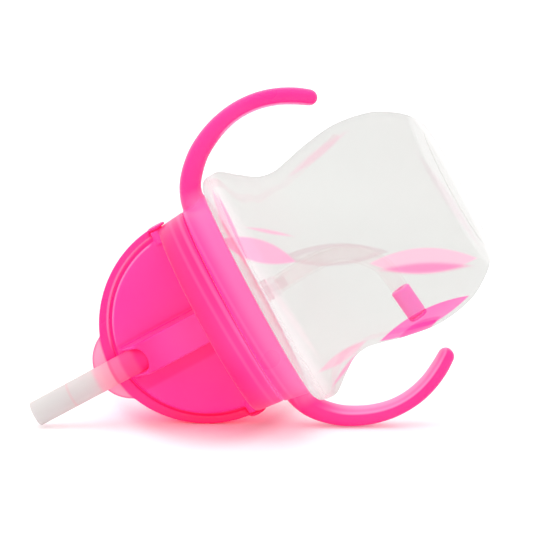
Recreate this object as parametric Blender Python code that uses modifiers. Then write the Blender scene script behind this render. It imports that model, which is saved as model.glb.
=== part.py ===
"""Weighted-straw trainer cup with a clip-on pair of handles and a flip-over straw cover.

Frame: metres, +Z up along the cup's axis, origin at the centre of the base's underside.
+X and -X are the handle sides, -Y is the drinking side. The cover is shown open, the straw up.
"""

import math

import bmesh
import bpy
from mathutils import Matrix, Vector

MM = 0.001

# All dimensions below are in millimetres.
STEPS = 36                  # facets round the large turned parts
BEVEL = 0.4                 # the usual bevel on an edge

# ---- cup ----
CUP_WALL = 1.3
CUP_FLOOR = 1.9
SHOULDER_Z = 68.0
CUP_SHAPE = (               # (height, outer radius), from the foot to the shoulder
    (0.0, 22.0), (1.3, 24.4), (5.2, 28.2), (12.5, 32.3), (23.5, 34.2), (34.5, 32.9),
    (41.8, 31.2), (46.7, 30.3), (51.5, 31.2), (56.4, 34.5), (61.0, 38.0), (64.0, 38.4),
    (66.6, 37.8), (SHOULDER_Z, 35.8),
)
CUP_INSIDE_FLOOR = (        # (radius, height above the floor) of the inside's lowest points
    (0.0, 0.0), (19.5, 0.0), (22.6, 0.45),
)
SHOULDER_INSIDE = (         # (radius, depth below SHOULDER_Z) under the shoulder
    (35.2, 2.0), (32.5, 1.3),
)
NECK_R = 29.2
NECK_WALL = 1.6
NECK_BORE = NECK_R - NECK_WALL
RIM_Z = 82.6

# ---- thread: matching lugs on the neck and inside the lid ----
LUG_COUNT = 3
LUG_R = 1.0                 # section radius
LUG_CLEARANCE = 0.4         # from a lug's crest to the wall facing it
LUG_LEAD = 12.0             # rise in one turn
LUG_ARC = 50.0              # degrees covered by each lug
LUG_START = 10.0            # degrees from +X to the first lug's start
LUG_POINTS = 7
NECK_LUG_Z = 79.6
LID_LUG_Z = NECK_LUG_Z - 1.9
SKIRT_R = NECK_R + LUG_R + LUG_CLEARANCE    # bore of both the handle ring and the lid's skirt

# ---- handle ring ----
RING_LOW, RING_HIGH = 68.35, 76.25
RING_R_LOW, RING_R_HIGH = 34.2, 32.9
RING_BORE_BEVEL = 0.25
HANDLE_PATH = (             # (x, z, half thickness in the handle's plane, half width across it)
    (31.9, 72.45, 3.7, 4.9), (35.0, 72.1, 3.5, 4.9), (38.8, 70.6, 3.3, 4.8),
    (42.6, 67.6, 3.2, 4.6), (46.4, 63.2, 3.05, 4.4), (49.5, 57.3, 2.9, 4.2),
    (51.3, 51.5, 2.7, 4.1), (51.9, 46.0, 2.6, 4.0), (51.4, 40.4, 2.6, 4.0),
    (49.8, 35.0, 2.6, 4.0), (47.4, 30.2, 2.6, 4.0), (45.0, 26.6, 2.45, 3.8),
)
HANDLE_SIDES = 12
HANDLE_ROUNDNESS = 0.8      # 1 gives an ellipse, less gives a squarer section
HANDLE_TIP_ANGLES = (35.0, 62.0, 80.0)      # degrees round the rounded end

# ---- lid ----
TOP = 85.7                  # top of the lid's collar, also the height of the cover's hinge axis
COLLAR_LOW = 76.55
COLLAR_R_LOW, COLLAR_R_HIGH = 32.6, 31.7
COLLAR_TOP_BEVEL = 0.6
LID_INNER_BEVEL = 0.3
CEILING_Z = TOP - 2.0       # underside of the collar's top, above the cup's rim
PLUG_R, DISH_R = 27.3, 25.6
DECK_HIGH, DECK_LOW = TOP - 6.2, TOP - 7.6  # faces of the sunken drinking deck
DOME_R, DOME_WALL = 29.1, 1.8
FRONT_Y = -1.0              # front face of the fixed half dome

HOUSING_HALF, HOUSING_FRONT = 5.1, -9.2
HOUSING_BACK = FRONT_Y + 1.0
HOUSING_LOW = DECK_HIGH - 0.6
HOUSING_TOP = TOP + 22.6    # at its front
HOUSING_BACK_TOP = TOP + 28.0
HOUSING_BEVEL = 1.0

STRAW_Y = -4.2              # the straw's axis
STRAW_R, STRAW_BORE = 3.9, 2.5
SLOT_LOW = TOP + 20.9
SLOT_HALF = STRAW_R - 0.15
SLOT_ROUND = 2.2            # height of the oval at the slot's lower end
SLOT_DEPTH_HALF = 5.0
SLOT_Y = STRAW_Y - 4.4      # middle of the slot's cutter

# ---- flip cover and its hinge ----
COVER_R, COVER_WALL = 32.7, 1.8
COVER_RISE = 1.03           # the cover is this much longer toward its thumb tab than it is wide
COVER_LIP_R, COVER_LIP_DEPTH = 30.2, 2.6
COVER_GAP = 0.4
EAR_R, EAR_IN, EAR_OUT = 2.7, 32.15, 33.0
PIN_R, PIN_IN, PIN_OUT = 1.2, 29.8, 32.6
PIN_BORE_R, PIN_BORE_IN = PIN_R + 0.3, 29.2
BOSS_R, BOSS_IN, BOSS_OUT = 2.7, 27.6, 31.75
TAB_R, TAB_Z = 12.2, TOP + 26.3
TAB_FRONT, TAB_BACK = 0.5, 2.0
REACH = 40.0                # where the cutters end, outside the part they cut

# ---- silicone spout ----
SPOUT_STEPS = 20
SPOUT_BEND_Z = TOP + 22.0   # first bend of the straw
SPOUT_LENGTHS = (           # (piece, length), going up
    ("spout_lower", 5.5), ("spout_middle", 9.5), ("spout_upper", 11.0), ("spout_tip", 11.6),
)
SPOUT_GAP = 0.3
SPOUT_BEVEL = 0.5
SPOUT_TAPER = 0.03          # radius lost over each length
ROOT_LOW = 69.0
FLANGE_R, FLANGE_THICK = 6.2, 1.6
FLANGE_HIGH = DECK_LOW - 0.35
VALVE_LOW, VALVE_HIGH, VALVE_HOLE_R = 0.6, 1.4, 0.5     # heights from the tip's lower bend

# ---- connector, tube and weight ----
CONNECTOR_HIGH, CONNECTOR_LOW, CONNECTOR_R = 68.6, 61.8, 3.1
CONNECTOR_BORE = 1.2
UPPER_STUB_R, UPPER_STUB = 1.9, 5.0         # radius and length
LOWER_STUB_R, LOWER_STUB = 1.65, 3.0
TUBE_STEPS = 16
TUBE_R, TUBE_BORE = 2.8, 2.0
TUBE_PATH = (               # (x, z) of the top, the three bends and the free end
    (0.0, CONNECTOR_LOW - 0.3), (0.8, 51.5), (-0.6, 40.0), (-10.0, 30.7), (-18.4, 29.7),
)
TUBE_GAP = 0.9              # from a bend to the end of the rounded tube beside it
TUBE_NOSE = 2.2             # length of the rounding
TUBE_NOSE_ANGLES = (70.0, 40.0, 0.0)        # degrees, from the tube's end back along its side
WEIGHT_R, WEIGHT_LENGTH = 3.05, 11.0
WEIGHT_BORE = 1.2
SLEEVE_BORE, SLEEVE_LOW, SLEEVE_FLOOR = 2.45, 0.4, 1.2
CORE_R, CORE_BORE, CORE_LOW = 2.15, 1.25, 1.55


# ---- scene and materials ----
for old in list(bpy.data.objects):
    bpy.data.objects.remove(old, do_unlink=True)

parts = bpy.data.collections.new("sippy_cup")
helpers = bpy.data.collections.new("cutters")
bpy.context.scene.collection.children.link(parts)
bpy.context.scene.collection.children.link(helpers)


def material(name, colour, roughness, metallic=0.0, transmission=0.0):
    mat = bpy.data.materials.new(name)
    mat.use_nodes = True
    shader = mat.node_tree.nodes["Principled BSDF"]
    shader.inputs["Base Color"].default_value = (*colour, 1.0)
    shader.inputs["Roughness"].default_value = roughness
    shader.inputs["Metallic"].default_value = metallic
    shader.inputs["Transmission Weight"].default_value = transmission
    return mat


CLEAR = material("clear_cup_plastic", colour=(0.93, 0.93, 0.92), roughness=0.12, transmission=0.8)
PINK_LID = material("pink_lid_plastic", colour=(1.0, 0.045, 0.30), roughness=0.3)
PINK_COVER = material("pink_cover_plastic", colour=(1.0, 0.035, 0.24), roughness=0.28)
PINK_RING = material("pink_handle_plastic", colour=(1.0, 0.09, 0.38), roughness=0.3)
SILICONE = material("straw_silicone", colour=(0.78, 0.72, 0.69), roughness=0.45)
TUBE = material("tube_silicone", colour=(0.85, 0.83, 0.82), roughness=0.4)
PINK_WEIGHT = material("pink_weight_plastic", colour=(1.0, 0.14, 0.42), roughness=0.35)
STEEL = material("weight_steel", colour=(0.56, 0.57, 0.58), roughness=0.3, metallic=1.0)
CLEAR_LINK = material("connector_plastic", colour=(0.95, 0.62, 0.75), roughness=0.25)


# ---- building tools ----
def adopt(obj, mat=None):
    """File obj as a visible part of that material or, without one, as a hidden helper."""
    for coll in list(obj.users_collection):
        coll.objects.unlink(obj)
    if mat is None:
        helpers.objects.link(obj)
        obj.hide_render = True
        obj.display_type = "WIRE"
    else:
        parts.objects.link(obj)
        obj.data.materials.clear()
        obj.data.materials.append(mat)
    return obj


def smooth(obj):
    obj.data.shade_smooth()
    obj.data.set_sharp_from_angle(angle=math.radians(35))


def baked(obj, name, mat=None):
    """The evaluated shape of obj as a plain mesh object of that name; obj is removed."""
    bpy.context.view_layer.update()
    graph = bpy.context.evaluated_depsgraph_get()
    mesh = bpy.data.meshes.new_from_object(obj.evaluated_get(graph), depsgraph=graph)
    matrix = obj.matrix_world.copy()
    bpy.data.objects.remove(obj, do_unlink=True)
    mesh.name = name
    work = bmesh.new()
    work.from_mesh(mesh)
    bmesh.ops.remove_doubles(work, verts=work.verts, dist=1e-6)
    work.to_mesh(mesh)
    work.free()
    out = bpy.data.objects.new(name, mesh)
    out.matrix_world = matrix
    return adopt(out, mat)


def turned(name, profile, steps, mat, closed=True, place=(0, 0, 0), tilt=0.0):
    """A profile of (radius, height) points turned round Z. It runs down its outer side.

    The piece is then tilted about Y and moved to its place.
    """
    mesh = bpy.data.meshes.new(name)
    points = [(radius * MM, 0.0, z * MM) for radius, z in profile]
    edges = [(i, i + 1) for i in range(len(points) - 1)]
    if closed:
        edges.append((len(points) - 1, 0))
    mesh.from_pydata(points, edges, [])
    obj = bpy.data.objects.new(name + "_profile", mesh)
    parts.objects.link(obj)
    screw = obj.modifiers.new("Screw", "SCREW")
    screw.axis = "Z"
    screw.angle = 2 * math.pi
    screw.steps = screw.render_steps = steps
    screw.use_merge_vertices = True
    screw.merge_threshold = 1e-5
    piece = baked(obj, name, mat)
    piece.location = Vector(place) * MM
    piece.rotation_euler = (0.0, tilt, 0.0)
    smooth(piece)
    return piece


def block(name, low, high):
    bpy.ops.mesh.primitive_cube_add(size=1.0)
    obj = bpy.context.object
    obj.name = name
    size = [(end - start) * MM for start, end in zip(low, high)]
    centre = [(end + start) / 2 * MM for start, end in zip(low, high)]
    for vert in obj.data.vertices:
        vert.co = Vector([c * s + m for c, s, m in zip(vert.co, size, centre)])
    return adopt(obj)


def rod(name, radius, start, end, sides=24):
    start, end = Vector(start) * MM, Vector(end) * MM
    axis = end - start
    bpy.ops.mesh.primitive_cylinder_add(vertices=sides, radius=radius * MM, depth=axis.length)
    obj = bpy.context.object
    obj.name = name
    obj.location = (start + end) / 2
    obj.rotation_mode = "QUATERNION"
    obj.rotation_quaternion = Vector((0, 0, 1)).rotation_difference(axis.normalized())
    return adopt(obj)


def hinge_ball(name, radius, mat=None, rise=1.0):
    """A ball centred on the hinge axis, its poles at the pins, stretched upright by rise."""
    bpy.ops.mesh.primitive_uv_sphere_add(segments=STEPS, ring_count=18, radius=radius * MM)
    obj = bpy.context.object
    obj.name = name
    obj.rotation_euler = (0.0, math.pi / 2, 0.0)
    obj.location = (0.0, 0.0, TOP * MM)
    obj.data.transform(Matrix.Scale(rise, 4, (1.0, 0.0, 0.0)))    # local X stands upright
    return adopt(obj, mat)


def prism(name, outline, half_depth, rotation, y=0.0):
    """A flat outline thickened both ways, then turned upright."""
    data = bpy.data.curves.new(name, "CURVE")
    data.dimensions = "2D"
    data.fill_mode = "BOTH"
    data.extrude = half_depth * MM
    line = data.splines.new("POLY")
    line.points.add(len(outline) - 1)
    for point, (across, up) in zip(line.points, outline):
        point.co = (across * MM, up * MM, 0.0, 1.0)
    line.use_cyclic_u = True
    obj = bpy.data.objects.new(name + "_outline", data)
    obj.rotation_euler = rotation
    obj.location.y = y * MM
    parts.objects.link(obj)
    return baked(obj, name)


def boolean(obj, other, operation):
    mod = obj.modifiers.new(operation.title() + "_" + other.name, "BOOLEAN")
    mod.operation = operation
    mod.object = other
    mod.solver = "EXACT"


def keep_behind(obj, name, front, low):
    """Keep only what is behind y = front and above z = low."""
    boolean(obj, block(name, (-REACH, front, low), (REACH, REACH, TOP + REACH)), "INTERSECT")


def hinge_rods(obj, name, radius, near, far, operation, order=("right", "left"), sides=24):
    """A rod on the hinge axis at each side, from near to far from the cup's axis."""
    for side in order:
        start, end = (near, far) if side == "right" else (-far, -near)
        pin = rod(f"{name}_{side}", radius, (start, 0, TOP), (end, 0, TOP), sides)
        boolean(obj, pin, operation)


def lug(name, radius, start_deg, start_z):
    """A short rib of round section that climbs along the thread's helix."""
    data = bpy.data.curves.new(name, "CURVE")
    data.dimensions = "3D"
    data.bevel_depth = LUG_R * MM
    data.bevel_resolution = 2
    data.use_fill_caps = True
    line = data.splines.new("POLY")
    line.points.add(LUG_POINTS - 1)
    for i, point in enumerate(line.points):
        turn = LUG_ARC * i / (LUG_POINTS - 1)
        angle = math.radians(start_deg + turn)
        z = start_z + LUG_LEAD * turn / 360.0
        point.co = (radius * math.cos(angle) * MM, radius * math.sin(angle) * MM, z * MM, 1.0)
    obj = bpy.data.objects.new(name + "_curve", data)
    parts.objects.link(obj)
    return baked(obj, name)


def add_lugs(obj, name, radius, start_z):
    for n in range(LUG_COUNT):
        start_deg = LUG_START + 360 / LUG_COUNT * n
        boolean(obj, lug(f"{name}_{n}", radius, start_deg, start_z), "UNION")


def catmull(points, per_span):
    """Points along a Catmull-Rom curve through these points."""
    out = []
    ends = [points[0], *points, points[-1]]
    for span in zip(ends, ends[1:], ends[2:], ends[3:]):
        for k in range(per_span):
            t = k / per_span
            out.append(tuple(
                0.5 * (2 * b + (c - a) * t + (2 * a - 5 * b + 4 * c - d) * t * t
                       + (3 * b - a - 3 * c + d) * t ** 3)
                for a, b, c, d in zip(*span)))
    out.append(tuple(points[-1]))
    return out


def inset(points, wall):
    """The same (height, radius) points moved inwards along the profile's normal."""
    out = []
    for i, (z, radius) in enumerate(points):
        before = Vector(points[max(i - 1, 0)])
        after = Vector(points[min(i + 1, len(points) - 1)])
        along = (after - before).normalized()
        out.append((z + along.y * wall, radius - along.x * wall))
    return out


# ---- cup: one clear moulding with a lugged neck ----
def build_cup():
    outer = catmull(CUP_SHAPE, 2)
    profile = [(radius, CUP_FLOOR + rise) for radius, rise in CUP_INSIDE_FLOOR]
    # the inset wall stops short of the floor's and the shoulder's own points
    profile += [(radius, z) for z, radius in inset(outer, CUP_WALL)
                if CUP_FLOOR + 1.0 < z < SHOULDER_Z - 3.0]
    profile += [(radius, SHOULDER_Z - depth) for radius, depth in SHOULDER_INSIDE]
    profile += [
        (NECK_BORE + 0.5, SHOULDER_Z - 1.3), (NECK_BORE, SHOULDER_Z - 0.6),
        (NECK_BORE, RIM_Z - 0.3), (NECK_BORE + BEVEL, RIM_Z),
        (NECK_R - BEVEL, RIM_Z), (NECK_R, RIM_Z - BEVEL),
        (NECK_R, SHOULDER_Z + 0.6), (NECK_R + 0.6, SHOULDER_Z)]
    profile += [(radius, z) for z, radius in reversed(outer)]
    profile += [(0.0, 0.0)]
    cup_body = turned("cup_body", profile, STEPS, CLEAR, closed=False)
    add_lugs(cup_body, "neck_lug", NECK_R, NECK_LUG_Z)


# ---- handle ring: a band under the lid with two open handles ----
def handle_bar(name, path, mirrored):
    """A rounded-rectangle bar along path, with a rounded far end, on +X unless mirrored."""
    centres = [Vector((x, 0.0, z)) for x, z, _, _ in path]
    sections = []
    for i, (_, _, thick, wide) in enumerate(path):
        along = (centres[min(i + 1, len(path) - 1)] - centres[max(i - 1, 0)]).normalized()
        sections.append((centres[i], along, thick, wide))
    centre, along, thick, wide = sections[-1]
    for angle in HANDLE_TIP_ANGLES:
        cos, sin = math.cos(math.radians(angle)), math.sin(math.radians(angle))
        sections.append(
            (centre + along * thick * sin, along, thick * cos, wide - thick * (1 - cos)))

    work = bmesh.new()
    rings = []
    for centre, along, thick, wide in sections:
        normal = Vector((along.z, 0.0, -along.x))
        ring = []
        for k in range(HANDLE_SIDES):
            angle = 2 * math.pi * k / HANDLE_SIDES
            cos, sin = math.cos(angle), math.sin(angle)
            cos = math.copysign(abs(cos) ** HANDLE_ROUNDNESS, cos)
            sin = math.copysign(abs(sin) ** HANDLE_ROUNDNESS, sin)
            across = Vector((0, 1, 0)) * wide * sin
            ring.append(work.verts.new((centre + normal * thick * cos + across) * MM))
        rings.append(ring)
    for ring, following in zip(rings, rings[1:]):
        for k in range(HANDLE_SIDES):
            after = (k + 1) % HANDLE_SIDES
            work.faces.new((ring[k], ring[after], following[after], following[k]))
    work.faces.new(rings[0])
    work.faces.new(list(reversed(rings[-1])))
    bmesh.ops.recalc_face_normals(work, faces=work.faces)
    mesh = bpy.data.meshes.new(name)
    work.to_mesh(mesh)
    work.free()
    if mirrored:
        for vert in mesh.vertices:
            vert.co.x = -vert.co.x
        mesh.flip_normals()
    return adopt(bpy.data.objects.new(name, mesh))


def build_handle_ring():
    handle_ring = turned("handle_ring", [
        (SKIRT_R + RING_BORE_BEVEL, RING_HIGH), (RING_R_HIGH - BEVEL, RING_HIGH),
        (RING_R_HIGH, RING_HIGH - BEVEL), (RING_R_LOW, RING_LOW + 0.5),
        (RING_R_LOW - BEVEL, RING_LOW), (SKIRT_R + RING_BORE_BEVEL, RING_LOW),
        (SKIRT_R, RING_LOW + RING_BORE_BEVEL), (SKIRT_R, RING_HIGH - RING_BORE_BEVEL),
    ], STEPS, PINK_RING)
    path = catmull(HANDLE_PATH, 2)
    boolean(handle_ring, handle_bar("handle_right", path, mirrored=False), "UNION")
    boolean(handle_ring, handle_bar("handle_left", path, mirrored=True), "UNION")


# ---- lid: collar, fixed half dome, sunken drinking deck and straw housing ----
def half_dome():
    """The hollow rear dome with its flat front wall and a hinge boss at each side."""
    dome = hinge_ball("dome_outer", DOME_R)
    keep_behind(dome, "dome_keep", FRONT_Y, TOP - 1.3)
    hinge_rods(dome, "boss", BOSS_R, BOSS_IN, BOSS_OUT, "UNION", order=("left", "right"))
    hollow = hinge_ball("dome_hollow", DOME_R - DOME_WALL)
    keep_behind(hollow, "hollow_keep", FRONT_Y + DOME_WALL, TOP - 9)
    boolean(dome, hollow, "DIFFERENCE")
    return baked(dome, "dome")


def drinking_deck():
    """The sunken floor in front of the dome."""
    deck = rod("deck_floor", DISH_R + 0.9, (0, 0, DECK_LOW + 0.2), (0, 0, DECK_HIGH), STEPS)
    keep = block("deck_keep", (-REACH, -REACH, TOP - 20), (REACH, FRONT_Y + 1.2, TOP + 20))
    boolean(deck, keep, "INTERSECT")
    return deck


def wall_foot():
    """The dome's front wall carried down to the deck."""
    half = DISH_R + 0.6
    return block("wall_foot", (-half, FRONT_Y + 0.1, DECK_LOW + 0.4),
                 (half, FRONT_Y + DOME_WALL - 0.1, TOP + 0.7))


def straw_housing():
    """An upright box whose top slopes back to the dome's edge."""
    outline = (             # (y, z)
        (HOUSING_BACK, HOUSING_LOW), (HOUSING_FRONT, HOUSING_LOW),
        (HOUSING_FRONT, HOUSING_TOP - HOUSING_BEVEL),
        (HOUSING_FRONT + HOUSING_BEVEL, HOUSING_TOP),
        (FRONT_Y - 0.4, HOUSING_BACK_TOP), (HOUSING_BACK, HOUSING_BACK_TOP))
    return prism("housing", outline, HOUSING_HALF, (math.pi / 2, 0.0, math.pi / 2))


def straw_slot():
    """An upright slot through the housing's front, with an oval lower end."""
    slot_top = TOP + REACH + 1.0
    outline = [(SLOT_HALF, slot_top)]       # (x, z)
    for degrees in range(0, 181, 20):
        angle = math.radians(degrees)
        outline.append((SLOT_HALF * math.cos(angle),
                        SLOT_LOW + SLOT_ROUND - SLOT_ROUND * math.sin(angle)))
    outline.append((-SLOT_HALF, slot_top))
    return prism("straw_slot", outline, SLOT_DEPTH_HALF, (math.pi / 2, 0.0, 0.0), SLOT_Y)


def build_lid():
    lid = turned("lid", [
        (DISH_R + LID_INNER_BEVEL, TOP), (COLLAR_R_HIGH - COLLAR_TOP_BEVEL, TOP),
        (COLLAR_R_HIGH, TOP - COLLAR_TOP_BEVEL), (COLLAR_R_LOW, COLLAR_LOW + BEVEL),
        (COLLAR_R_LOW - BEVEL, COLLAR_LOW), (SKIRT_R + LID_INNER_BEVEL, COLLAR_LOW),
        (SKIRT_R, COLLAR_LOW + LID_INNER_BEVEL), (SKIRT_R, CEILING_Z), (PLUG_R, CEILING_Z),
        (PLUG_R, DECK_LOW + BEVEL), (PLUG_R - BEVEL, DECK_LOW), (DISH_R, DECK_LOW),
        (DISH_R, TOP - LID_INNER_BEVEL),
    ], STEPS, PINK_LID)
    add_lugs(lid, "lid_lug", SKIRT_R, LID_LUG_Z)
    for build_addition in (half_dome, drinking_deck, wall_foot, straw_housing):
        boolean(lid, build_addition(), "UNION")
    bore = rod("straw_bore", STRAW_R + 0.3,
               (0, STRAW_Y, TOP - 12), (0, STRAW_Y, TOP + REACH), 28)
    boolean(lid, bore, "DIFFERENCE")
    boolean(lid, straw_slot(), "DIFFERENCE")
    hinge_rods(lid, "pivot_bore", PIN_BORE_R, PIN_BORE_IN, REACH, "DIFFERENCE", sides=20)


# ---- flip cover: a quarter ball with an inward lip, a thumb tab and two pivot ears ----
def build_flip_cover():
    cover = hinge_ball("flip_cover", COVER_R, PINK_COVER, COVER_RISE)
    smooth(cover)
    keep_behind(cover, "cover_keep", COVER_GAP, TOP + COVER_GAP)
    boolean(cover, rod("thumb_tab", TAB_R, (0, TAB_FRONT, TAB_Z), (0, TAB_BACK, TAB_Z), 36),
            "UNION")
    boolean(cover, hinge_ball("lip_hollow", COVER_LIP_R), "DIFFERENCE")
    hollow = hinge_ball("cover_hollow", COVER_R - COVER_WALL, rise=COVER_RISE)
    keep_behind(hollow, "shell_keep", COVER_LIP_DEPTH, TOP - REACH)
    boolean(cover, hollow, "DIFFERENCE")
    room = rod("pivot_room", BOSS_R + 0.4, (-EAR_IN, 0, TOP), (EAR_IN, 0, TOP))
    boolean(cover, room, "DIFFERENCE")
    hinge_rods(cover, "ear", EAR_R, EAR_IN, EAR_OUT, "UNION")
    hinge_rods(cover, "pin", PIN_R, PIN_IN, PIN_OUT, "UNION", sides=16)


# ---- silicone spout: a root held in the lid, then four lengths that stand in for its bend ----
def build_spout_root():
    high = SPOUT_BEND_Z - SPOUT_GAP / 2
    flange_low = FLANGE_HIGH - FLANGE_THICK
    turned("spout_root", [
        (STRAW_BORE, high), (STRAW_R - SPOUT_BEVEL, high), (STRAW_R, SPOUT_BEND_Z - 0.7),
        (STRAW_R, FLANGE_HIGH), (FLANGE_R, FLANGE_HIGH), (FLANGE_R, flange_low),
        (STRAW_R, flange_low), (STRAW_R, ROOT_LOW), (STRAW_BORE, ROOT_LOW),
    ], SPOUT_STEPS, SILICONE, place=(0, STRAW_Y, 0))


def build_spout_lengths():
    bend_z = SPOUT_BEND_Z
    for i, (name, length) in enumerate(SPOUT_LENGTHS):
        is_tip = name == "spout_tip"
        low = SPOUT_GAP / 2
        high = length - (0.0 if is_tip else SPOUT_GAP / 2)
        low_r = STRAW_R - SPOUT_TAPER * i
        high_r = STRAW_R - SPOUT_TAPER * (i + 1)
        profile = [
            (STRAW_BORE, high), (high_r - SPOUT_BEVEL, high), (high_r, high - SPOUT_BEVEL),
            (low_r, low + SPOUT_BEVEL), (low_r - SPOUT_BEVEL, low), (STRAW_BORE, low)]
        if is_tip:          # the valve: a slit membrane below the mouth, drawn as a ring
            profile += [(STRAW_BORE, VALVE_LOW), (VALVE_HOLE_R, VALVE_LOW),
                        (VALVE_HOLE_R, VALVE_HIGH), (STRAW_BORE, VALVE_HIGH)]
        turned(name, profile, SPOUT_STEPS, SILICONE, place=(0, STRAW_Y, bend_z))
        bend_z += length


# ---- connector between spout and tube ----
def build_connector():
    turned("straw_connector", [
        (CONNECTOR_BORE, CONNECTOR_HIGH + UPPER_STUB), (UPPER_STUB_R, CONNECTOR_HIGH + UPPER_STUB),
        (UPPER_STUB_R, CONNECTOR_HIGH), (CONNECTOR_R - BEVEL, CONNECTOR_HIGH),
        (CONNECTOR_R, CONNECTOR_HIGH - BEVEL), (CONNECTOR_R, CONNECTOR_LOW + BEVEL),
        (CONNECTOR_R - BEVEL, CONNECTOR_LOW), (LOWER_STUB_R, CONNECTOR_LOW),
        (LOWER_STUB_R, CONNECTOR_LOW - LOWER_STUB), (CONNECTOR_BORE, CONNECTOR_LOW - LOWER_STUB),
    ], 20, CLEAR_LINK, place=(0, STRAW_Y, 0))


# ---- flexible tube: four lengths with rounded ends, which bend where they meet ----
def tube_length(name, start, end, start_round, end_round):
    """A tube between two (x, z) points; a rounded end stops TUBE_GAP short of its bend."""
    along = Vector(end) - Vector(start)
    low = TUBE_GAP if start_round else 0.0
    high = along.length - (TUBE_GAP if end_round else 0.0)
    nose = []               # (radius, distance from the end)
    for degrees in TUBE_NOSE_ANGLES:
        angle = math.radians(degrees)
        nose.append((TUBE_R - (TUBE_R - TUBE_BORE) * (1 - math.cos(angle)),
                     TUBE_NOSE * (1 - math.sin(angle))))
    profile = [(TUBE_BORE, high)]
    profile += [(radius, high - back) for radius, back in nose] if end_round else [(TUBE_R, high)]
    if start_round:
        profile += [(radius, low + back) for radius, back in reversed(nose)]
    else:
        profile += [(TUBE_R, low)]
    profile += [(TUBE_BORE, low)]
    turned(name, profile, TUBE_STEPS, TUBE,
           place=(start[0], STRAW_Y, start[1]), tilt=math.atan2(along.x, along.y))


def build_tube():
    names = ("tube_upper", "tube_middle", "tube_lower", "tube_end")
    for name, start, end in zip(names, TUBE_PATH, TUBE_PATH[1:]):
        tube_length(name, start, end,
                    start_round=name != "tube_upper", end_round=name != "tube_end")


# ---- weight on the tube's end: a plastic sleeve and cap round a steel core ----
def build_weight():
    bend, end = TUBE_PATH[-2:]
    pivot = bpy.data.objects.new("weight_pivot", None)      # on the tube's last bend
    pivot.location = Vector((bend[0], STRAW_Y, bend[1])) * MM
    parts.objects.link(pivot)

    offset_x, offset_z = end[0] - bend[0], end[1] - bend[1]
    length = WEIGHT_LENGTH
    sleeve_high = length - 1.3
    core_high = length - 1.6
    cap_low = length - 1.0
    sleeve = [
        (SLEEVE_BORE, sleeve_high), (WEIGHT_R - 0.15, sleeve_high), (WEIGHT_R, length - 1.7),
        (WEIGHT_R, SLEEVE_LOW + 0.5), (WEIGHT_R - 0.5, SLEEVE_LOW), (WEIGHT_BORE, SLEEVE_LOW),
        (WEIGHT_BORE, SLEEVE_FLOOR), (SLEEVE_BORE, SLEEVE_FLOOR)]
    core = [(CORE_BORE, core_high), (CORE_R, core_high), (CORE_R, CORE_LOW), (CORE_BORE, CORE_LOW)]
    cap = [(WEIGHT_BORE, length), (WEIGHT_R - 0.6, length), (WEIGHT_R, length - 0.5),
           (WEIGHT_R, cap_low), (WEIGHT_BORE, cap_low)]
    for name, profile, mat in (("weight_sleeve", sleeve, PINK_WEIGHT),
                               ("weight_core", core, STEEL),
                               ("weight_cap", cap, PINK_WEIGHT)):
        piece = turned(name, profile, 20, mat,
                       place=(offset_x, 0, offset_z), tilt=math.atan2(offset_x, offset_z))
        piece.parent = pivot


build_cup()
build_handle_ring()
build_lid()
build_flip_cover()
build_spout_root()
build_spout_lengths()
build_connector()
build_tube()
build_weight()
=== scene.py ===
"""Looks of a trainer cup: a clear cup with a pink handle ring, lid, flip cover and straw.

The cup stands on Z = 0 with its axis along +Z. The drinking side faces -Y, the handles reach out
along X, and the cover turns about a hinge along X at the lid's top. For the camera it lies down.
Shapes are in millimetres. Positions inside materials are in metres unless a comment says so.
"""

import math
from functools import reduce

import bmesh
import bpy
import numpy as np
from mathutils import Matrix, Vector


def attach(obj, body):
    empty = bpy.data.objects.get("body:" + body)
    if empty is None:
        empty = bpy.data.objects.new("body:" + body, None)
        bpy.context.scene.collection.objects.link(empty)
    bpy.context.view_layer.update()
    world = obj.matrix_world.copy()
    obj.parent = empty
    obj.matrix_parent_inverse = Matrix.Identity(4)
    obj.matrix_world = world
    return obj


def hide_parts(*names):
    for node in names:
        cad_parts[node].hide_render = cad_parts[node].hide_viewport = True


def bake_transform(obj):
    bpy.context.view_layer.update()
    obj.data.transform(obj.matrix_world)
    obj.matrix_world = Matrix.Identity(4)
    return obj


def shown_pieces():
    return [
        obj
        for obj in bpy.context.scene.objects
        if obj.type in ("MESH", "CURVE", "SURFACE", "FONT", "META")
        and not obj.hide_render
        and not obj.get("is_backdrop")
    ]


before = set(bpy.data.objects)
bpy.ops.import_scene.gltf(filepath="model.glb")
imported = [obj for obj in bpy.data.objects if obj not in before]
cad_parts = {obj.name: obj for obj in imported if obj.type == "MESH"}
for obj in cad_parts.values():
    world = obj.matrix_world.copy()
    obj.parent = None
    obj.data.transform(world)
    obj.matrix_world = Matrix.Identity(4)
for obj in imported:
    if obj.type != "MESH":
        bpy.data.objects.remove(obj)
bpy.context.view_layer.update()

MM = 0.001
TOP = 85.7  # height of the lid's top face and of the hinge
HINGE = (0.0, 0.0, TOP * MM)
STRAW_Y = -4.2  # the straw, connector, tube and weight all lie in this plane
TAB_Z = TOP + 26.3  # centre of the cover's round thumb tab
scene = bpy.context.scene


# ---------------------------------------------------------------- points and profiles
def heading(points, i):
    """The direction of a line of vectors at its point i."""
    return (points[min(i + 1, len(points) - 1)] - points[max(i - 1, 0)]).normalized()


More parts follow.
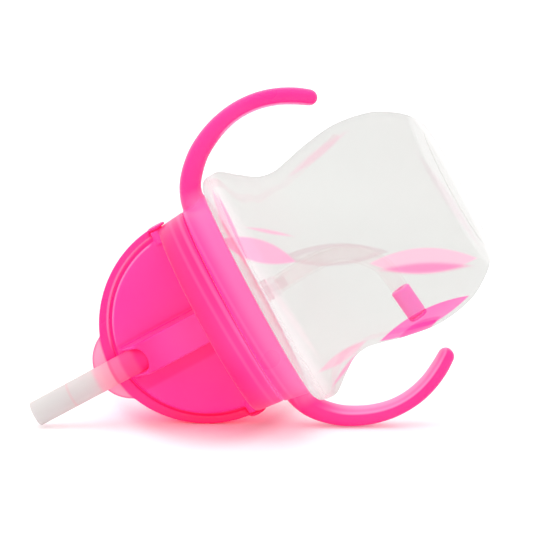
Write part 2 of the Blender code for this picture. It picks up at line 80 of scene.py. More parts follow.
def rounded(points, corners, closed=True, steps=5):
    """The profile with its corners rounded. corners is one size or one for each corner."""
    count = len(points)
    sizes = corners if isinstance(corners, list) else [corners] * count
    out = []
    for i, point in enumerate(points):
        if not closed and i in (0, count - 1) or sizes[i] <= 0:
            out.append(tuple(point))
            continue
        corner = Vector(point)
        back = Vector(points[i - 1]) - corner
        ahead = Vector(points[(i + 1) % count]) - corner
        reach = min(sizes[i], 0.48 * back.length, 0.48 * ahead.length)
        start = corner + back.normalized() * reach
        end = corner + ahead.normalized() * reach
        for k in range(steps + 1):
            t = k / steps
            spot = start * (1 - t) ** 2 + corner * 2 * t * (1 - t) + end * t * t
            out.append((spot.x, spot.y))
    return out


def catmull(points, per_span):
    """A smooth line through the points, which may have any number of columns."""
    out = []
    ends = [points[0]] + list(points) + [points[-1]]
    for i in range(1, len(ends) - 2):
        for k in range(per_span):
            t = k / per_span
            out.append(tuple(
                0.5 * (2 * b + (c - a) * t + (2 * a - 5 * b + 4 * c - d) * t * t
                       + (3 * b - a - 3 * c + d) * t ** 3)
                for a, b, c, d in zip(*ends[i - 1:i + 3])))
    out.append(tuple(points[-1]))
    return out


def inset(points, wall):
    """A line of (height, radius) moved in by the wall's thickness."""
    out = []
    for i, (z, radius) in enumerate(points):
        z_before, radius_before = points[max(i - 1, 0)]
        z_after, radius_after = points[min(i + 1, len(points) - 1)]
        run = Vector((z_after - z_before, radius_after - radius_before)).normalized()
        out.append((z + run.y * wall, radius - run.x * wall))
    return out


# ---------------------------------------------------------------- mesh helpers
def link(obj):
    scene.collection.objects.link(obj)
    return obj


def mesh_object(name, verts, faces, angle):
    """An object from millimetres, smooth up to the angle in degrees, or flat for None."""
    mesh = bpy.data.meshes.new(name)
    mesh.from_pydata([(x * MM, y * MM, z * MM) for x, y, z in verts], [], faces)
    work = bmesh.new()
    work.from_mesh(mesh)
    bmesh.ops.remove_doubles(work, verts=work.verts, dist=2e-6)
    bmesh.ops.recalc_face_normals(work, faces=work.faces)
    work.to_mesh(mesh)
    work.free()
    if angle is not None:
        mesh.shade_smooth()
        mesh.set_sharp_from_angle(angle=math.radians(angle))
    return link(bpy.data.objects.new(name, mesh))


def add_ring(verts, points):
    """Adds the points to verts and gives their numbers."""
    first = len(verts)
    verts.extend(points)
    return list(range(first, len(verts)))


def circle(centre, side, other, radius, sides):
    angles = [2 * math.pi * k / sides for k in range(sides)]
    return [tuple(centre + (side * math.cos(a) + other * math.sin(a)) * radius) for a in angles]


def bridge(rings):
    """Faces from each ring to the next. A ring of one point is a pole."""
    faces = []
    for near, far in zip(rings, rings[1:]):
        count = max(len(near), len(far))
        for k in range(count):
            j = (k + 1) % count
            if len(near) == 1:
                faces.append((near[0], far[k], far[j]))
            elif len(far) == 1:
                faces.append((near[k], near[j], far[0]))
            else:
                faces.append((near[k], near[j], far[j], far[k]))
    return faces


def revolve(name, profile, steps=128, closed=True, place=(0, 0, 0), tilt=0.0, angle=None):
    """A profile of (radius, height) turned round Z, then tilted about Y and moved to place."""
    verts, rings = [], []
    for radius, z in profile:
        if abs(radius) < 1e-6:
            points = [(0.0, 0.0, z)]
        else:
            turns = [2 * math.pi * k / steps for k in range(steps)]
            points = [(radius * math.cos(a), radius * math.sin(a), z) for a in turns]
        rings.append(add_ring(verts, points))
    if closed:
        rings.append(rings[0])
    cos, sin = math.cos(tilt), math.sin(tilt)
    verts = [(x * cos + z * sin + place[0], y + place[1], z * cos - x * sin + place[2])
             for x, y, z in verts]
    return mesh_object(name, verts, bridge(rings), angle)


def sweep(name, path, radii, sides):
    """A round bar along path, whose points are (x, y, z)."""
    points = [Vector(p) for p in path]
    verts, rings = [], []
    side = None
    for i, point in enumerate(points):
        along = heading(points, i)
        if side is None:
            side = along.orthogonal().normalized()
        side = (side - along * side.dot(along)).normalized()
        ring = circle(point, side, along.cross(side), radii[i], sides)
        rings.append(add_ring(verts, ring))
    faces = bridge(rings) + [tuple(rings[0]), tuple(reversed(rings[-1]))]
    return mesh_object(name, verts, faces, 50.0)


def box(name, low, high):
    verts = [(x, y, z) for x in (low[0], high[0]) for y in (low[1], high[1])
             for z in (low[2], high[2])]
    faces = [(0, 1, 3, 2), (4, 6, 7, 5), (0, 4, 5, 1), (2, 3, 7, 6), (0, 2, 6, 4), (1, 5, 7, 3)]
    return mesh_object(name, verts, faces, None)


def bar(name, radius, start, end, sides):
    return sweep(name, [start, end], [radius, radius], sides)


def cross_bar(name, radius, start, end, sides=32):
    """A bar on the hinge's axis between two places on X."""
    return bar(name, radius, (start, 0, TOP), (end, 0, TOP), sides)


def prism(name, outline, axis, low, high):
    """An outline pushed along an axis: for 'X' it holds (y, z) points, for 'Y' (x, z) points."""
    count = len(outline)
    verts = [(t, a, b) if axis == "X" else (a, t, b) for t in (low, high) for a, b in outline]
    faces = [tuple(range(count)), tuple(range(2 * count - 1, count - 1, -1))]
    for k in range(count):
        j = (k + 1) % count
        faces.append((k, j, count + j, count + k))
    return mesh_object(name, verts, faces, None)


def dome(name, radius, waist=0.0, rise=1.0):
    """A ball round the hinge's middle with its poles on X, stretched up by rise.

    waist draws it in half way between the poles and the middle.
    """
    rings = 96
    profile = [(0.0, radius)]
    for i in range(1, rings):
        a = math.pi * i / rings
        reach = radius * (1 - waist * math.sin(2 * a) ** 2)
        profile.append((reach * math.sin(a), reach * math.cos(a)))
    profile.append((0.0, -radius))
    obj = revolve(name, profile, 128, closed=False, place=(0, 0, TOP), tilt=math.pi / 2)
    if rise != 1.0:
        for v in obj.data.vertices:
            v.co.z = TOP * MM + (v.co.z - TOP * MM) * rise
    return obj


def bake(obj):
    """Applies obj's modifiers."""
    bpy.context.view_layer.update()
    graph = bpy.context.evaluated_depsgraph_get()
    mesh = bpy.data.meshes.new_from_object(obj.evaluated_get(graph), depsgraph=graph)
    obj.modifiers.clear()
    old, obj.data = obj.data, mesh
    bpy.data.meshes.remove(old)


def cut(obj, other, how="DIFFERENCE"):
    """Combines obj with other, which is used up."""
    mod = obj.modifiers.new("boolean", "BOOLEAN")
    mod.operation = how
    mod.object = other
    mod.solver = "EXACT"
    bake(obj)
    bpy.data.objects.remove(other, do_unlink=True)


def join(obj, other):
    cut(obj, other, "UNION")


def keep_box(obj, low, high):
    """Keeps only what lies in the box."""
    cut(obj, box("keep", low, high), "INTERSECT")


def moulded(obj, voxel, rounds):
    """Gives every edge and inner corner the small radius that a moulded piece has."""
    mod = obj.modifiers.new("remesh", "REMESH")
    mod.mode = "VOXEL"
    mod.voxel_size = voxel * MM
    mod.use_smooth_shade = True
    ease = obj.modifiers.new("smooth", "SMOOTH")
    ease.factor = 0.5
    ease.iterations = rounds
    bake(obj)
    obj.data.name = obj.name
    obj.data.shade_smooth()


LUG_ARC, LUG_LEAD, LUG_POINTS = 50.0, 12.0, 26  # degrees, rise for a full turn, stations


def add_lugs(obj, radius, z_start):
    """Joins on three short lengths of thread, tapered at both ends."""
    for n in range(3):
        path, radii = [], []
        for i in range(LUG_POINTS):
            t = i / (LUG_POINTS - 1)
            a = math.radians(10 + 120 * n + LUG_ARC * t)
            z = z_start + LUG_LEAD * LUG_ARC * t / 360
            path.append((radius * math.cos(a), radius * math.sin(a), z))
            radii.append(min(1.0, 0.35 + 2.6 * math.sin(math.pi * t)))
        join(obj, sweep("lug", path, radii, 14))


def coordinates(mesh):
    co = np.empty(len(mesh.vertices) * 3)
    mesh.vertices.foreach_get("co", co)
    return co.reshape(-1, 3)


# ---------------------------------------------------------------- shader helpers
def rgba(value):
    return value if isinstance(value, bpy.types.NodeSocket) else (*value[:3], 1.0)


class Nodes:
    """A short way of writing a node tree, which it empties first."""

    def __init__(self, owner):
        owner.use_nodes = True
        self.tree = owner.node_tree
        self.tree.nodes.clear()

    def new(self, kind, ins=None, **props):
        node = self.tree.nodes.new("ShaderNode" + kind)
        for key, value in props.items():
            setattr(node, key, value)
        for key, value in (ins or {}).items():
            self.put(node.inputs[key], value)
        return node

    def put(self, socket, value):
        if isinstance(value, bpy.types.NodeSocket):
            self.tree.links.new(value, socket)
        else:
            socket.default_value = value

    def output(self, shader, kind="Material"):
        self.new("Output" + kind, {"Surface": shader})

    def math(self, how, a, b=0.0):
        return self.new("Math", {0: a, 1: b, 2: 0.0}, operation=how).outputs[0]

    def add(self, *values):
        return reduce(lambda a, b: self.math("ADD", a, b), values)

    def mul(self, *values):
        return reduce(lambda a, b: self.math("MULTIPLY", a, b), values)

    def sub(self, a, b):
        return self.math("SUBTRACT", a, b)

    def size(self, a):
        return self.math("ABSOLUTE", a)

    def vec(self, how, a, b=(0, 0, 0)):
        node = self.new("VectorMath", {0: a, 1: b}, operation=how)
        number = how in ("LENGTH", "DISTANCE", "DOT_PRODUCT")
        return node.outputs["Value"] if number else node.outputs[0]

    def axes(self, where):
        return self.new("SeparateXYZ", {0: where}).outputs[:3]

    def ramp(self, value, span, to=(0.0, 1.0)):
        """Goes smoothly between the two numbers of to as value crosses span."""
        node = self.new("MapRange", {"Value": value, "From Min": span[0], "From Max": span[1],
                                     "To Min": to[0], "To Max": to[1]})
        node.interpolation_type = "SMOOTHSTEP"
        return node.outputs["Result"]

    def colour(self, share, a, b):
        node = self.new("Mix", data_type="RGBA")
        for index, value in ((0, share), (6, rgba(a)), (7, rgba(b))):
            self.put(node.inputs[index], value)
        return node.outputs[2]

    def paint(self, base, tint, *masks, strength=None):
        """base with tint laid over it where all the masks meet."""
        if strength is not None:
            masks += (strength,)
        return self.colour(self.mul(*masks), base, tint)

    def mix(self, share, a, b):
        return self.new("MixShader", {0: share, 1: a, 2: b}).outputs[0]

    def bsdf(self, kind, ins=None):
        return self.new("Bsdf" + kind, ins).outputs[0]

    def edge(self, power):
        """1 where the surface is seen edge on, falling off by the power."""
        facing = self.new("LayerWeight", {"Blend": 0.5}).outputs["Facing"]
        return self.math("POWER", facing, power)

    def noise(self, where, scale, detail):
        return self.new("TexNoise", {"Vector": where, "Scale": scale, "Detail": detail,
                                     "Roughness": 0.5}).outputs["Fac"]

    def bump(self, height, strength, distance):
        return self.new("Bump", {"Height": height, "Strength": strength,
                                 "Distance": distance}).outputs[0]


def srgb(*channels):
    """A colour given by red, green and blue from 0 to 255."""
    return tuple(((c / 255 + 0.055) / 1.055) ** 2.4 if c > 10 else c / 255 / 12.92
                 for c in channels)


def material(name):
    mat = bpy.data.materials.new(name)
    tree = Nodes(mat)
    return mat, tree, tree.new("TexCoord").outputs["Object"]


# ---------------------------------------------------------------- camera directions
LENS, SENSOR = 110.7, 36.0
WIDE = 162.6  # width of the view at the cup
DISTANCE = WIDE * LENS / SENSOR * MM
PITCH, YAW = math.radians(2.0), math.radians(8.0)
# BACK runs from the cup to the eye, ACROSS is level, and ALONG is upright on the picture plane
BACK = Vector((math.sin(YAW) * math.cos(PITCH), -math.cos(YAW) * math.cos(PITCH),
               -math.sin(PITCH)))
ACROSS = Vector((math.cos(YAW), math.sin(YAW), 0.0))
ALONG = BACK.cross(ACROSS)
# the camera is rolled so that the cup lies down in its view
ROLL_ACROSS, ROLL_ALONG = 0.4726, 0.8813
RIGHT = -ROLL_ACROSS * ACROSS - ROLL_ALONG * ALONG
UP = ROLL_ALONG * ACROSS - ROLL_ACROSS * ALONG
AIM = (5.83 * ACROSS + Vector((0.0, 0.0, 62.15))) * MM
EYE = AIM + BACK * DISTANCE


def seen_from_eye(tree):
    """1 when this script's own camera looks, 0 for any other camera."""
    place = tree.new("VectorTransform", {0: (0.0, 0.0, 0.0)}, vector_type="POINT",
                     convert_from="CAMERA", convert_to="WORLD").outputs[0]
    return tree.math("LESS_THAN", tree.vec("DISTANCE", place, tuple(EYE)), 0.012)


def picture_plane(tree, where):
    """Where a point shows on the upright plane through the aim, in mm, seen from the eye."""
    line = tree.vec("SUBTRACT", where, tuple(EYE))
    depth = tree.mul(tree.vec("DOT_PRODUCT", line, tuple(BACK)), -1.0 / DISTANCE / 1000.0)
    return [tree.add(tree.math("DIVIDE", tree.vec("DOT_PRODUCT", line, tuple(way)), depth),
                     float(AIM.dot(way)) * 1000) for way in (ACROSS, ALONG)]


# ---------------------------------------------------------------- pink plastic
LIGHT = srgb(255, 160, 216)  # the pale pink of thin and grazing parts: painted sheen where seen edge on, and painted highlights
# painted glow: the emission strength of the pink parts, which are no lamp
GLOW = 0.16
# height, half width and strength of the thread's bands
THREAD_BANDS = ((0.0803, 0.0009, 0.12), (0.0774, 0.0010, 0.24), (0.0747, 0.0008, 0.16))


def pink_start(name):
    """A material with its slow cloud of tone and its share of the light pink, a little from the
    cloud and more from painted sheen where the surface is seen edge on.
    """
    mat, tree, where = material(name)
    cloud = tree.noise(where, scale=40.0, detail=1.0)
    cloudy = tree.mul(tree.ramp(cloud, span=(0.3, 0.7)), 0.05)
    pale = tree.add(cloudy, tree.mul(tree.edge(power=5.0), 0.35))
    return mat, tree, where, cloud, pale


def lighten(tree, base, pale):
    return tree.colour(tree.math("MINIMUM", pale, 1.0), base, LIGHT)


def pink_skin(tree, where, cloud, base, glow):
    """The pink surface, with light let through it, a painted glow of strength glow, and the bump of
    its fine grain.
    """
    grain = tree.noise(where, scale=2600.0, detail=2.0)
    bump = tree.bump(grain, strength=0.03, distance=0.0001)
    skin = tree.bsdf("Principled", {
        "Base Color": base, "Roughness": tree.ramp(cloud, span=(0.25, 0.75), to=(0.27, 0.34)),
        "IOR": 1.49, "Specular IOR Level": 0.4, "Subsurface Weight": 0.1,
        "Subsurface Radius": (1.0, 0.22, 0.40), "Subsurface Scale": 0.003,
        "Emission Color": base, "Emission Strength": glow, "Normal": bump,
        "Coat Weight": 0.05, "Coat Roughness": 0.12})
    through = tree.bsdf("Translucent", {"Color": base, "Normal": bump})
    return tree.mix(0.22, skin, through), bump


def collar_tones(tree, where, x, z, pale):
    """The collar round the neck, where the thread shows as soft bands that climb along X."""
    radius = tree.vec("LENGTH", tree.vec("MULTIPLY", where, (1.0, 1.0, 0.0)))
    climb = tree.sub(z, tree.mul(x, 0.030))
    bands = []
    for height, half, strength in THREAD_BANDS:
        far = tree.size(tree.sub(climb, height))
        bands.append(tree.mul(tree.ramp(far, span=(0.0, half), to=(1.0, 0.0)), strength))
    collar = tree.mul(tree.ramp(radius, span=(0.0300, 0.0310)),
                      tree.ramp(radius, span=(0.0342, 0.0385), to=(1.0, 0.0)),
                      tree.ramp(z, span=(0.0862, 0.0856)))
    # painted light and shade: the collar is paler low down and at -X, and a little deeper at +X
    low = tree.mul(tree.ramp(climb, span=(0.0765, 0.0700)), 0.42)
    turn = tree.mul(tree.ramp(x, span=(0.024, -0.024), to=(-0.05, 0.09)),
                    tree.ramp(climb, span=(0.0840, 0.0760)))
    pale = tree.add(pale, tree.mul(tree.add(*bands, low, turn), collar))
    return radius, climb, collar, pale


def collar_glow(tree, z, collar):
    """The painted glow, stronger at the joint of lid and handle ring, where it lightens the shade
    in the joint.
    """
    gap = tree.size(tree.sub(z, 0.0765))
    joint = tree.ramp(gap, span=(0.0003, 0.0009), to=(0.25, 0.0))
    return tree.add(GLOW, tree.mul(joint, collar))


def pink_lid():
    mat, tree, where, cloud, pale = pink_start("pink_lid")
    x, y, z = tree.axes(where)
    radius, climb, collar, pale = collar_tones(tree, where, x, z, pale)
    # painted shade: the collar is deep just under the dome and deeper still towards +X
    wall = tree.colour(tree.ramp(climb, span=(0.0860, 0.0800)),
                       srgb(252, 14, 128), srgb(254, 44, 152))
    wall = tree.paint(wall, srgb(250, 4, 108), tree.ramp(x, span=(-0.010, 0.024), to=(0.0, 0.45)))
    base = tree.colour(collar, srgb(255, 56, 170), wall)
    # painted shade along the straw's housing: a soft shadow on a wider strip at -X, and its shaded
    # side wall at +X
    in_dome = tree.mul(tree.ramp(z, span=(0.0856, 0.0862)), tree.ramp(y, span=(-0.0098, -0.0090)))
    shade = tree.mul(tree.ramp(x, span=(-0.0108, -0.0094)), tree.ramp(x, span=(-0.0040, -0.0052)),
                     tree.ramp(y, span=(-0.0088, -0.0080)))
    side = tree.mul(tree.ramp(x, span=(0.0047, 0.0051)), tree.ramp(x, span=(0.0068, 0.0058)))
    shade = tree.math("MAXIMUM", shade, side)
    base = tree.paint(base, srgb(250, 16, 146), shade, in_dome, strength=0.8)
    # painted shade deepens its -Y face upwards, and painted light makes it paler low down in the
    # middle
    face = tree.mul(tree.ramp(y, span=(-0.0085, -0.0090)), tree.ramp(z, span=(0.0860, 0.0866)))
    base = tree.paint(base, srgb(250, 20, 130), face,
                      tree.ramp(z, span=(0.0980, 0.1085), to=(0.0, 0.6)))
    face = tree.mul(face, tree.ramp(z, span=(0.1070, 0.0940)))
    middle = tree.mul(tree.ramp(radius, span=(0.0, 0.0140), to=(1.0, 0.0)), 0.26)
    base = tree.paint(base, LIGHT, face, middle)
    # the edge of the dome catches the light at +X
    from_hinge = tree.vec("DISTANCE", tree.vec("MULTIPLY", where, (1.0, 0.0, 1.0)), HINGE)
    brink = tree.mul(tree.ramp(from_hinge, span=(0.0283, 0.0289)),
                     tree.ramp(x, span=(0.002, 0.016)),
                     tree.mul(tree.ramp(z, span=(0.0890, 0.0910)),
                              tree.ramp(y, span=(0.002, 0.0))))
    base = tree.paint(base, srgb(252, 158, 208), brink, strength=0.6)
    base = lighten(tree, base, pale)
    tree.output(pink_skin(tree, where, cloud, base, collar_glow(tree, z, collar))[0])
    return mat


def pink_handle():
    """Uses the handles' lip attribute, which is 1 on their inner faces, to place painted highlights
    along the inner lip.
    """
    mat, tree, where, cloud, pale = pink_start("pink_handle")
    x, _, z = tree.axes(where)
    _, _, collar, pale = collar_tones(tree, where, x, z, pale)
    lip = tree.new("Attribute", attribute_name="lip").outputs["Fac"]
    line = tree.mul(tree.ramp(lip, span=(0.80, 0.86)),
                    tree.ramp(lip, span=(0.90, 0.96), to=(1.0, 0.0)))
    # painted highlights along the inner lip: a wide pale band on the -X handle, less pale along a
    # thin line in it, and a thin one low on the +X handle
    minus_x = tree.ramp(x, span=(0.001, -0.001))
    wide = tree.sub(tree.ramp(lip, span=(0.66, 0.78)), tree.mul(line, 0.25))
    thin = tree.mul(tree.ramp(lip, span=(0.80, 0.90)), tree.ramp(z, span=(0.058, 0.052)))
    band = tree.add(tree.mul(minus_x, wide), tree.mul(tree.sub(1.0, minus_x), thin))
    fade = tree.ramp(tree.size(x), span=(0.0375, 0.0475))
    pale = tree.add(pale, tree.mul(band, fade, 0.85))
    base = lighten(tree, srgb(250, 44, 152), pale)
    tree.output(pink_skin(tree, where, cloud, base, collar_glow(tree, z, collar))[0])
    return mat


def pink_cover():
    mat, tree, where, cloud, pale = pink_start("pink_cover")
    x, y, z = tree.axes(where)
    base = lighten(tree, srgb(252, 40, 152), pale)
    # a painted highlight runs along the inner edge of the rim at +X, and painted shade deepens the
    # -X side
    flat = tree.vec("MULTIPLY", where, (1.0, 0.0, 1.0))
    far = tree.vec("DISTANCE", flat, HINGE)
    line = tree.mul(tree.ramp(far, span=(0.0299, 0.0303)),
                    tree.ramp(far, span=(0.0306, 0.0311), to=(1.0, 0.0)),
                    tree.mul(tree.ramp(x, span=(0.003, 0.012)),
                             tree.ramp(y, span=(0.0030, 0.0020))))
    base = tree.paint(base, srgb(252, 160, 208), line, strength=0.55)
    base = tree.paint(base, srgb(252, 46, 112), tree.ramp(x, span=(-0.010, -0.028)), strength=0.7)
    # painted glow: the cover's emission rises from GLOW at the rim's edge to GLOW + 0.5 beyond it
    # towards +Y
    glow = tree.ramp(y, span=(0.0022, 0.0040), to=(GLOW, GLOW + 0.5))
    shell, bump = pink_skin(tree, where, cloud, base, glow)
    # the thumb tab is one thin wall, so light comes through it
    mask = tree.mul(tree.ramp(far, span=(0.0331, 0.0340)),
                    tree.ramp(z, span=((TOP + 22) * MM, (TOP + 25) * MM)))
    from_middle = tree.vec("DISTANCE", flat, (0.0, 0.0, TAB_Z * MM))
    tint = tree.colour(tree.ramp(from_middle, span=(0.0113, 0.0122)),
                       srgb(252, 196, 222), srgb(250, 120, 180))
    thin = tree.bsdf("Translucent", {"Color": tint, "Normal": bump})
    # the tab's face has a faint painted glow as well
    face = tree.bsdf("Principled", {"Base Color": tint, "Roughness": 0.25, "Normal": bump,
                                    "Emission Color": tint, "Emission Strength": 0.08})
    clear = tree.bsdf("Transparent", {"Color": (1.0, 0.66, 0.82, 1.0)})
    through, open_share = 0.4, 0.25  # light let through, and the share seen straight through
    leaf = tree.mix(open_share, tree.mix(through, face, thin), clear)
    tree.output(tree.mix(mask, shell, leaf))
    return mat


def pink_weight():
    mat, tree, where, cloud, pale = pink_start("pink_weight")
    # the pale share, mostly painted sheen where seen edge on, goes to a pink a touch lighter than
    # LIGHT in blue
    base = tree.colour(tree.math("MINIMUM", pale, 1.0), srgb(254, 104, 200), srgb(255, 160, 218))
    # with a painted glow
    tree.output(pink_skin(tree, where, cloud, base, glow=0.2)[0])
    return mat


# ---------------------------------------------------------------- clear plastic
# Leaf-shaped painted reflections of the pink parts, and painted pale bands of light, in the thick
# clear wall, in mm on the picture plane:
# start, end, half width, soft edge, colour, strength
PAINTED_REFLECTIONS = (
    # a leaf along the lower edge as the cup lies, then the handle beside it
    ((-30.6, 42.9), (-31.2, 11.3), 2.7, 0.35, srgb(254, 108, 190), 0.95),
    ((-33.0, 38.5), (-32.6, 22.0), 2.1, 0.5, srgb(250, 60, 168), 0.85),
    # the run of leaves that crosses the wall
    ((-7.9, 34.6), (-22.6, 3.6), 4.3, 0.8, srgb(254, 200, 222), 0.95),
    ((-10.4, 34.4), (-24.4, 5.0), 2.4, 1.8, srgb(254, 136, 192), 0.85),
    ((6.6, 58.0), (-8.0, 26.5), 3.7, 0.6, srgb(220, 206, 209), 0.85),
    ((4.6, 54.5), (-6.4, 29.5), 2.6, 0.7, srgb(223, 219, 218), 0.9),
    ((20.5, 71.5), (2.4, 53.0), 3.9, 1.0, srgb(253, 178, 214), 0.9),
    ((20.5, 63.4), (9.0, 49.2), 1.0, 0.9, srgb(252, 182, 214), 0.75),
    ((36.0, 65.6), (7.0, 67.4), 2.0, 0.9, srgb(253, 196, 220), 0.75),
    ((34.5, 64.6), (9.0, 66.4), 0.7, 0.4, srgb(250, 150, 200), 0.6),
    # the shoulder's far edge, and the handle mirrored where it leaves the ring
    ((9.0, 65.2), (-32.5, 60.4), 1.7, 1.4, srgb(236, 226, 228), 0.7),
    ((-30.2, 64.5), (-28.4, 44.8), 2.0, 1.0, srgb(248, 190, 212), 0.75),
    ((-36.6, 63.0), (-29.8, 49.0), 0.9, 0.7, srgb(250, 128, 190), 0.7),
    # painted pale bands of light inside the +X edge and along the foot
    ((26.5, 46.0), (31.0, 18.5), 2.0, 1.6, srgb(238, 208, 218), 0.7),
    ((19.0, 5.6), (-23.0, 1.6), 2.0, 1.6, srgb(224, 212, 216), 0.6),
)


def leaf_mask(tree, across, along, start, end, half, soft):
    """A leaf-shaped patch between two points of the picture plane, all in mm."""
    (x0, z0), (x1, z1) = start, end
    length = math.hypot(x1 - x0, z1 - z0)
    run_x, run_z = (x1 - x0) / length, (z1 - z0) / length
    off_x, off_z = tree.sub(across, x0), tree.sub(along, z0)
    part = tree.math("DIVIDE", tree.add(tree.mul(off_x, run_x), tree.mul(off_z, run_z)), length)
    aside = tree.sub(tree.mul(off_x, -run_z), tree.mul(off_z, -run_x))
    swell = tree.mul(part, tree.sub(1.0, part), 4.0 * half)
    return tree.ramp(tree.sub(swell, tree.size(aside)), span=(0.0, soft))


def wall_tones(tree, where, camera_ray, front, outside, colour, milky, haze):
    """The cup wall's colours: a milky neck, a paler foot and the painted reflections of the pink
    parts.
    """
    z = tree.axes(where)[2]
    neck = tree.ramp(z, span=(0.0615, 0.0650))
    colour = tree.colour(neck, colour, (0.94, 0.91, 0.915))
    colour = tree.paint(colour, (0.965, 0.965, 0.96), tree.ramp(z, span=(0.0030, 0.0016)))
    haze = tree.ramp(z, span=(0.0635, 0.0668), to=(haze, 0.82))
    milky = tree.colour(neck, milky, (0.83, 0.885, 0.87))
    seen = tree.mul(camera_ray, front, seen_from_eye(tree))
    across, along = picture_plane(tree, where)
    for *leaf, pink, strength in PAINTED_REFLECTIONS:
        share = tree.mul(leaf_mask(tree, across, along, *leaf), seen, strength)
        colour = tree.colour(share, colour, tuple(1.12 * c for c in pink))
        milky = tree.colour(share, milky, pink)
    return tree.colour(outside, (1.0, 1.0, 1.0), colour), milky, haze


def clear_plastic(name, tint, haze, edge_dark, rough, bend, wall=False):
    """Clear moulded plastic. bend is the index that bends a line of sight, small for thin walls."""
    mat, tree, where = material(name)
    cloud = tree.noise(where, scale=45.0, detail=3.0)
    grain = tree.noise(where, scale=1800.0, detail=2.0)
    swirl = tree.noise(where, scale=90.0, detail=2.0)
    path = tree.new("LightPath").outputs
    shape = tree.new("NewGeometry").outputs
    behind = shape["Backfacing"]
    front = tree.sub(1.0, behind)
    # painted shade: the wall darkens where it is seen edge on
    colour = tree.colour(tree.edge(power=8.0), tint, (edge_dark, edge_dark, edge_dark * 0.995))
    milky = (0.84, 0.84, 0.83, 1.0)
    if wall:
        # tint and haze sit in the outer face only, so the wall's edge is no paler than the rest
        outwards = tree.vec("SUBTRACT", where, (0.0, 0.0, 0.035))
        lean = tree.mul(tree.vec("DOT_PRODUCT", shape["Normal"], outwards),
                        tree.sub(front, behind))
        outside = tree.math("GREATER_THAN", lean, 0.0)
        front = tree.mul(front, outside)
        colour, milky, haze = wall_tones(tree, where, path["Is Camera Ray"], front, outside,
                                         colour, milky, haze)
    bump = tree.bump(swirl, strength=0.04, distance=0.0004)
    window = tree.bsdf("Glass", {"Color": colour, "IOR": bend, "Normal": bump,
                                 "Roughness": tree.ramp(cloud, span=(0.3, 0.7), to=rough)})
    shine = tree.bsdf("Glossy", {"Color": (0.95, 0.95, 0.95, 1), "Roughness": 0.06,
                                 "Normal": bump})
    fresnel = tree.new("Fresnel", {"IOR": 1.49, "Normal": bump}).outputs[0]
    mirror_share, mirror_limit = 0.7, 0.12  # how much of the true mirroring shows, and its most
    mirror = tree.math("MINIMUM", tree.mul(fresnel, front, mirror_share), mirror_limit)
    window = tree.mix(mirror, window, shine)
    milk = tree.bsdf("Diffuse", {"Color": milky, "Roughness": 0.4})
    veil = tree.bsdf("Translucent", {"Color": milky})
    fog = tree.mix(0.6, milk, veil)
    # haze varies with the cloud, with a little more on the grain
    amount = tree.mul(tree.ramp(cloud, span=(0.25, 0.75), to=(0.85, 1.15)), haze)
    amount = tree.add(amount, tree.mul(tree.ramp(grain, span=(0.4, 0.7)), 0.01))
    body = tree.mix(tree.mul(amount, front), window, fog)
    passing = tree.bsdf("Transparent", {"Color": (0.95, 0.95, 0.945, 1)})
    unlit = tree.math("MAXIMUM", path["Is Shadow Ray"], path["Is Diffuse Ray"])
    tree.output(tree.mix(unlit, body, passing))
    return mat


# ---------------------------------------------------------------- rubber and steel
# Painted pink light from the pink parts that show through the straw: full from the lower height,
# none at the upper,
# as upper height, lower height, colour, strength
STRAW_SHOW_THROUGH = (
    (0.1244, 0.1226, srgb(246, 200, 214), 0.9), (0.1222, 0.1192, srgb(252, 190, 210), 0.9),
    (0.1186, 0.1180, srgb(254, 104, 168), 0.85), (0.1177, 0.1170, srgb(254, 146, 198), 0.7),
    (0.1152, 0.1138, srgb(254, 90, 172), 0.9), (0.1110, 0.1090, srgb(255, 52, 164), 0.9))


def straw_tones(tree, where, base):
    """Painted pink light where pink parts show through the straw, faint for other cameras, and a
    thin pink band near its tip.
    """
    z = tree.axes(where)[2]
    here = tree.add(tree.mul(seen_from_eye(tree), 0.85), 0.15)
    for upper, lower, pink, strength in STRAW_SHOW_THROUGH:
        base = tree.paint(base, pink, tree.ramp(z, span=(upper, lower)), tree.mul(here, strength))
    far = tree.size(tree.sub(z, 0.1325))
    return tree.paint(base, srgb(250, 190, 200), tree.ramp(far, span=(0.0, 0.0007), to=(0.35, 0.0)))


def silicone(name, colour, through, clear, tones=None):
    """Milky rubber. through is its share of light let through, clear the share seen through."""
    mat, tree, where = material(name)
    cloud = tree.noise(where, scale=120.0, detail=3.0)
    grain = tree.noise(where, scale=3200.0, detail=2.0)
    cloud_tone, edge_shade = (tuple(c * k for c, k in zip(colour, darker))
                             for darker in ((0.97, 0.955, 0.94), (0.86, 0.80, 0.76)))
    base = tree.paint(colour, cloud_tone, tree.ramp(cloud, span=(0.3, 0.7)), strength=0.25)
    # painted shade where the rubber is seen edge on
    base = tree.paint(base, edge_shade, tree.edge(power=3.0), strength=0.55)
    if tones:
        base = tones(tree, where, base)
    bump = tree.bump(grain, strength=0.10, distance=0.00012)
    # a painted glow that evens out the rubber's shading
    skin = tree.bsdf("Principled", {
        "Base Color": base, "Roughness": tree.ramp(cloud, span=(0.3, 0.7), to=(0.36, 0.5)),
        "IOR": 1.41, "Specular IOR Level": 0.35, "Emission Color": base,
        "Emission Strength": 0.12, "Normal": bump, "Sheen Weight": 0.05})
    veil = tree.bsdf("Translucent", {"Color": base, "Normal": bump})
    # the clearer the rubber, the less it colours what is seen through it
    sight = tree.colour(clear * 1.1 - 0.1, base, (1.0, 1.0, 1.0))
    glass = tree.bsdf("Transparent", {"Color": sight})
    tree.output(tree.mix(clear, tree.mix(through, skin, veil), glass))
    return mat


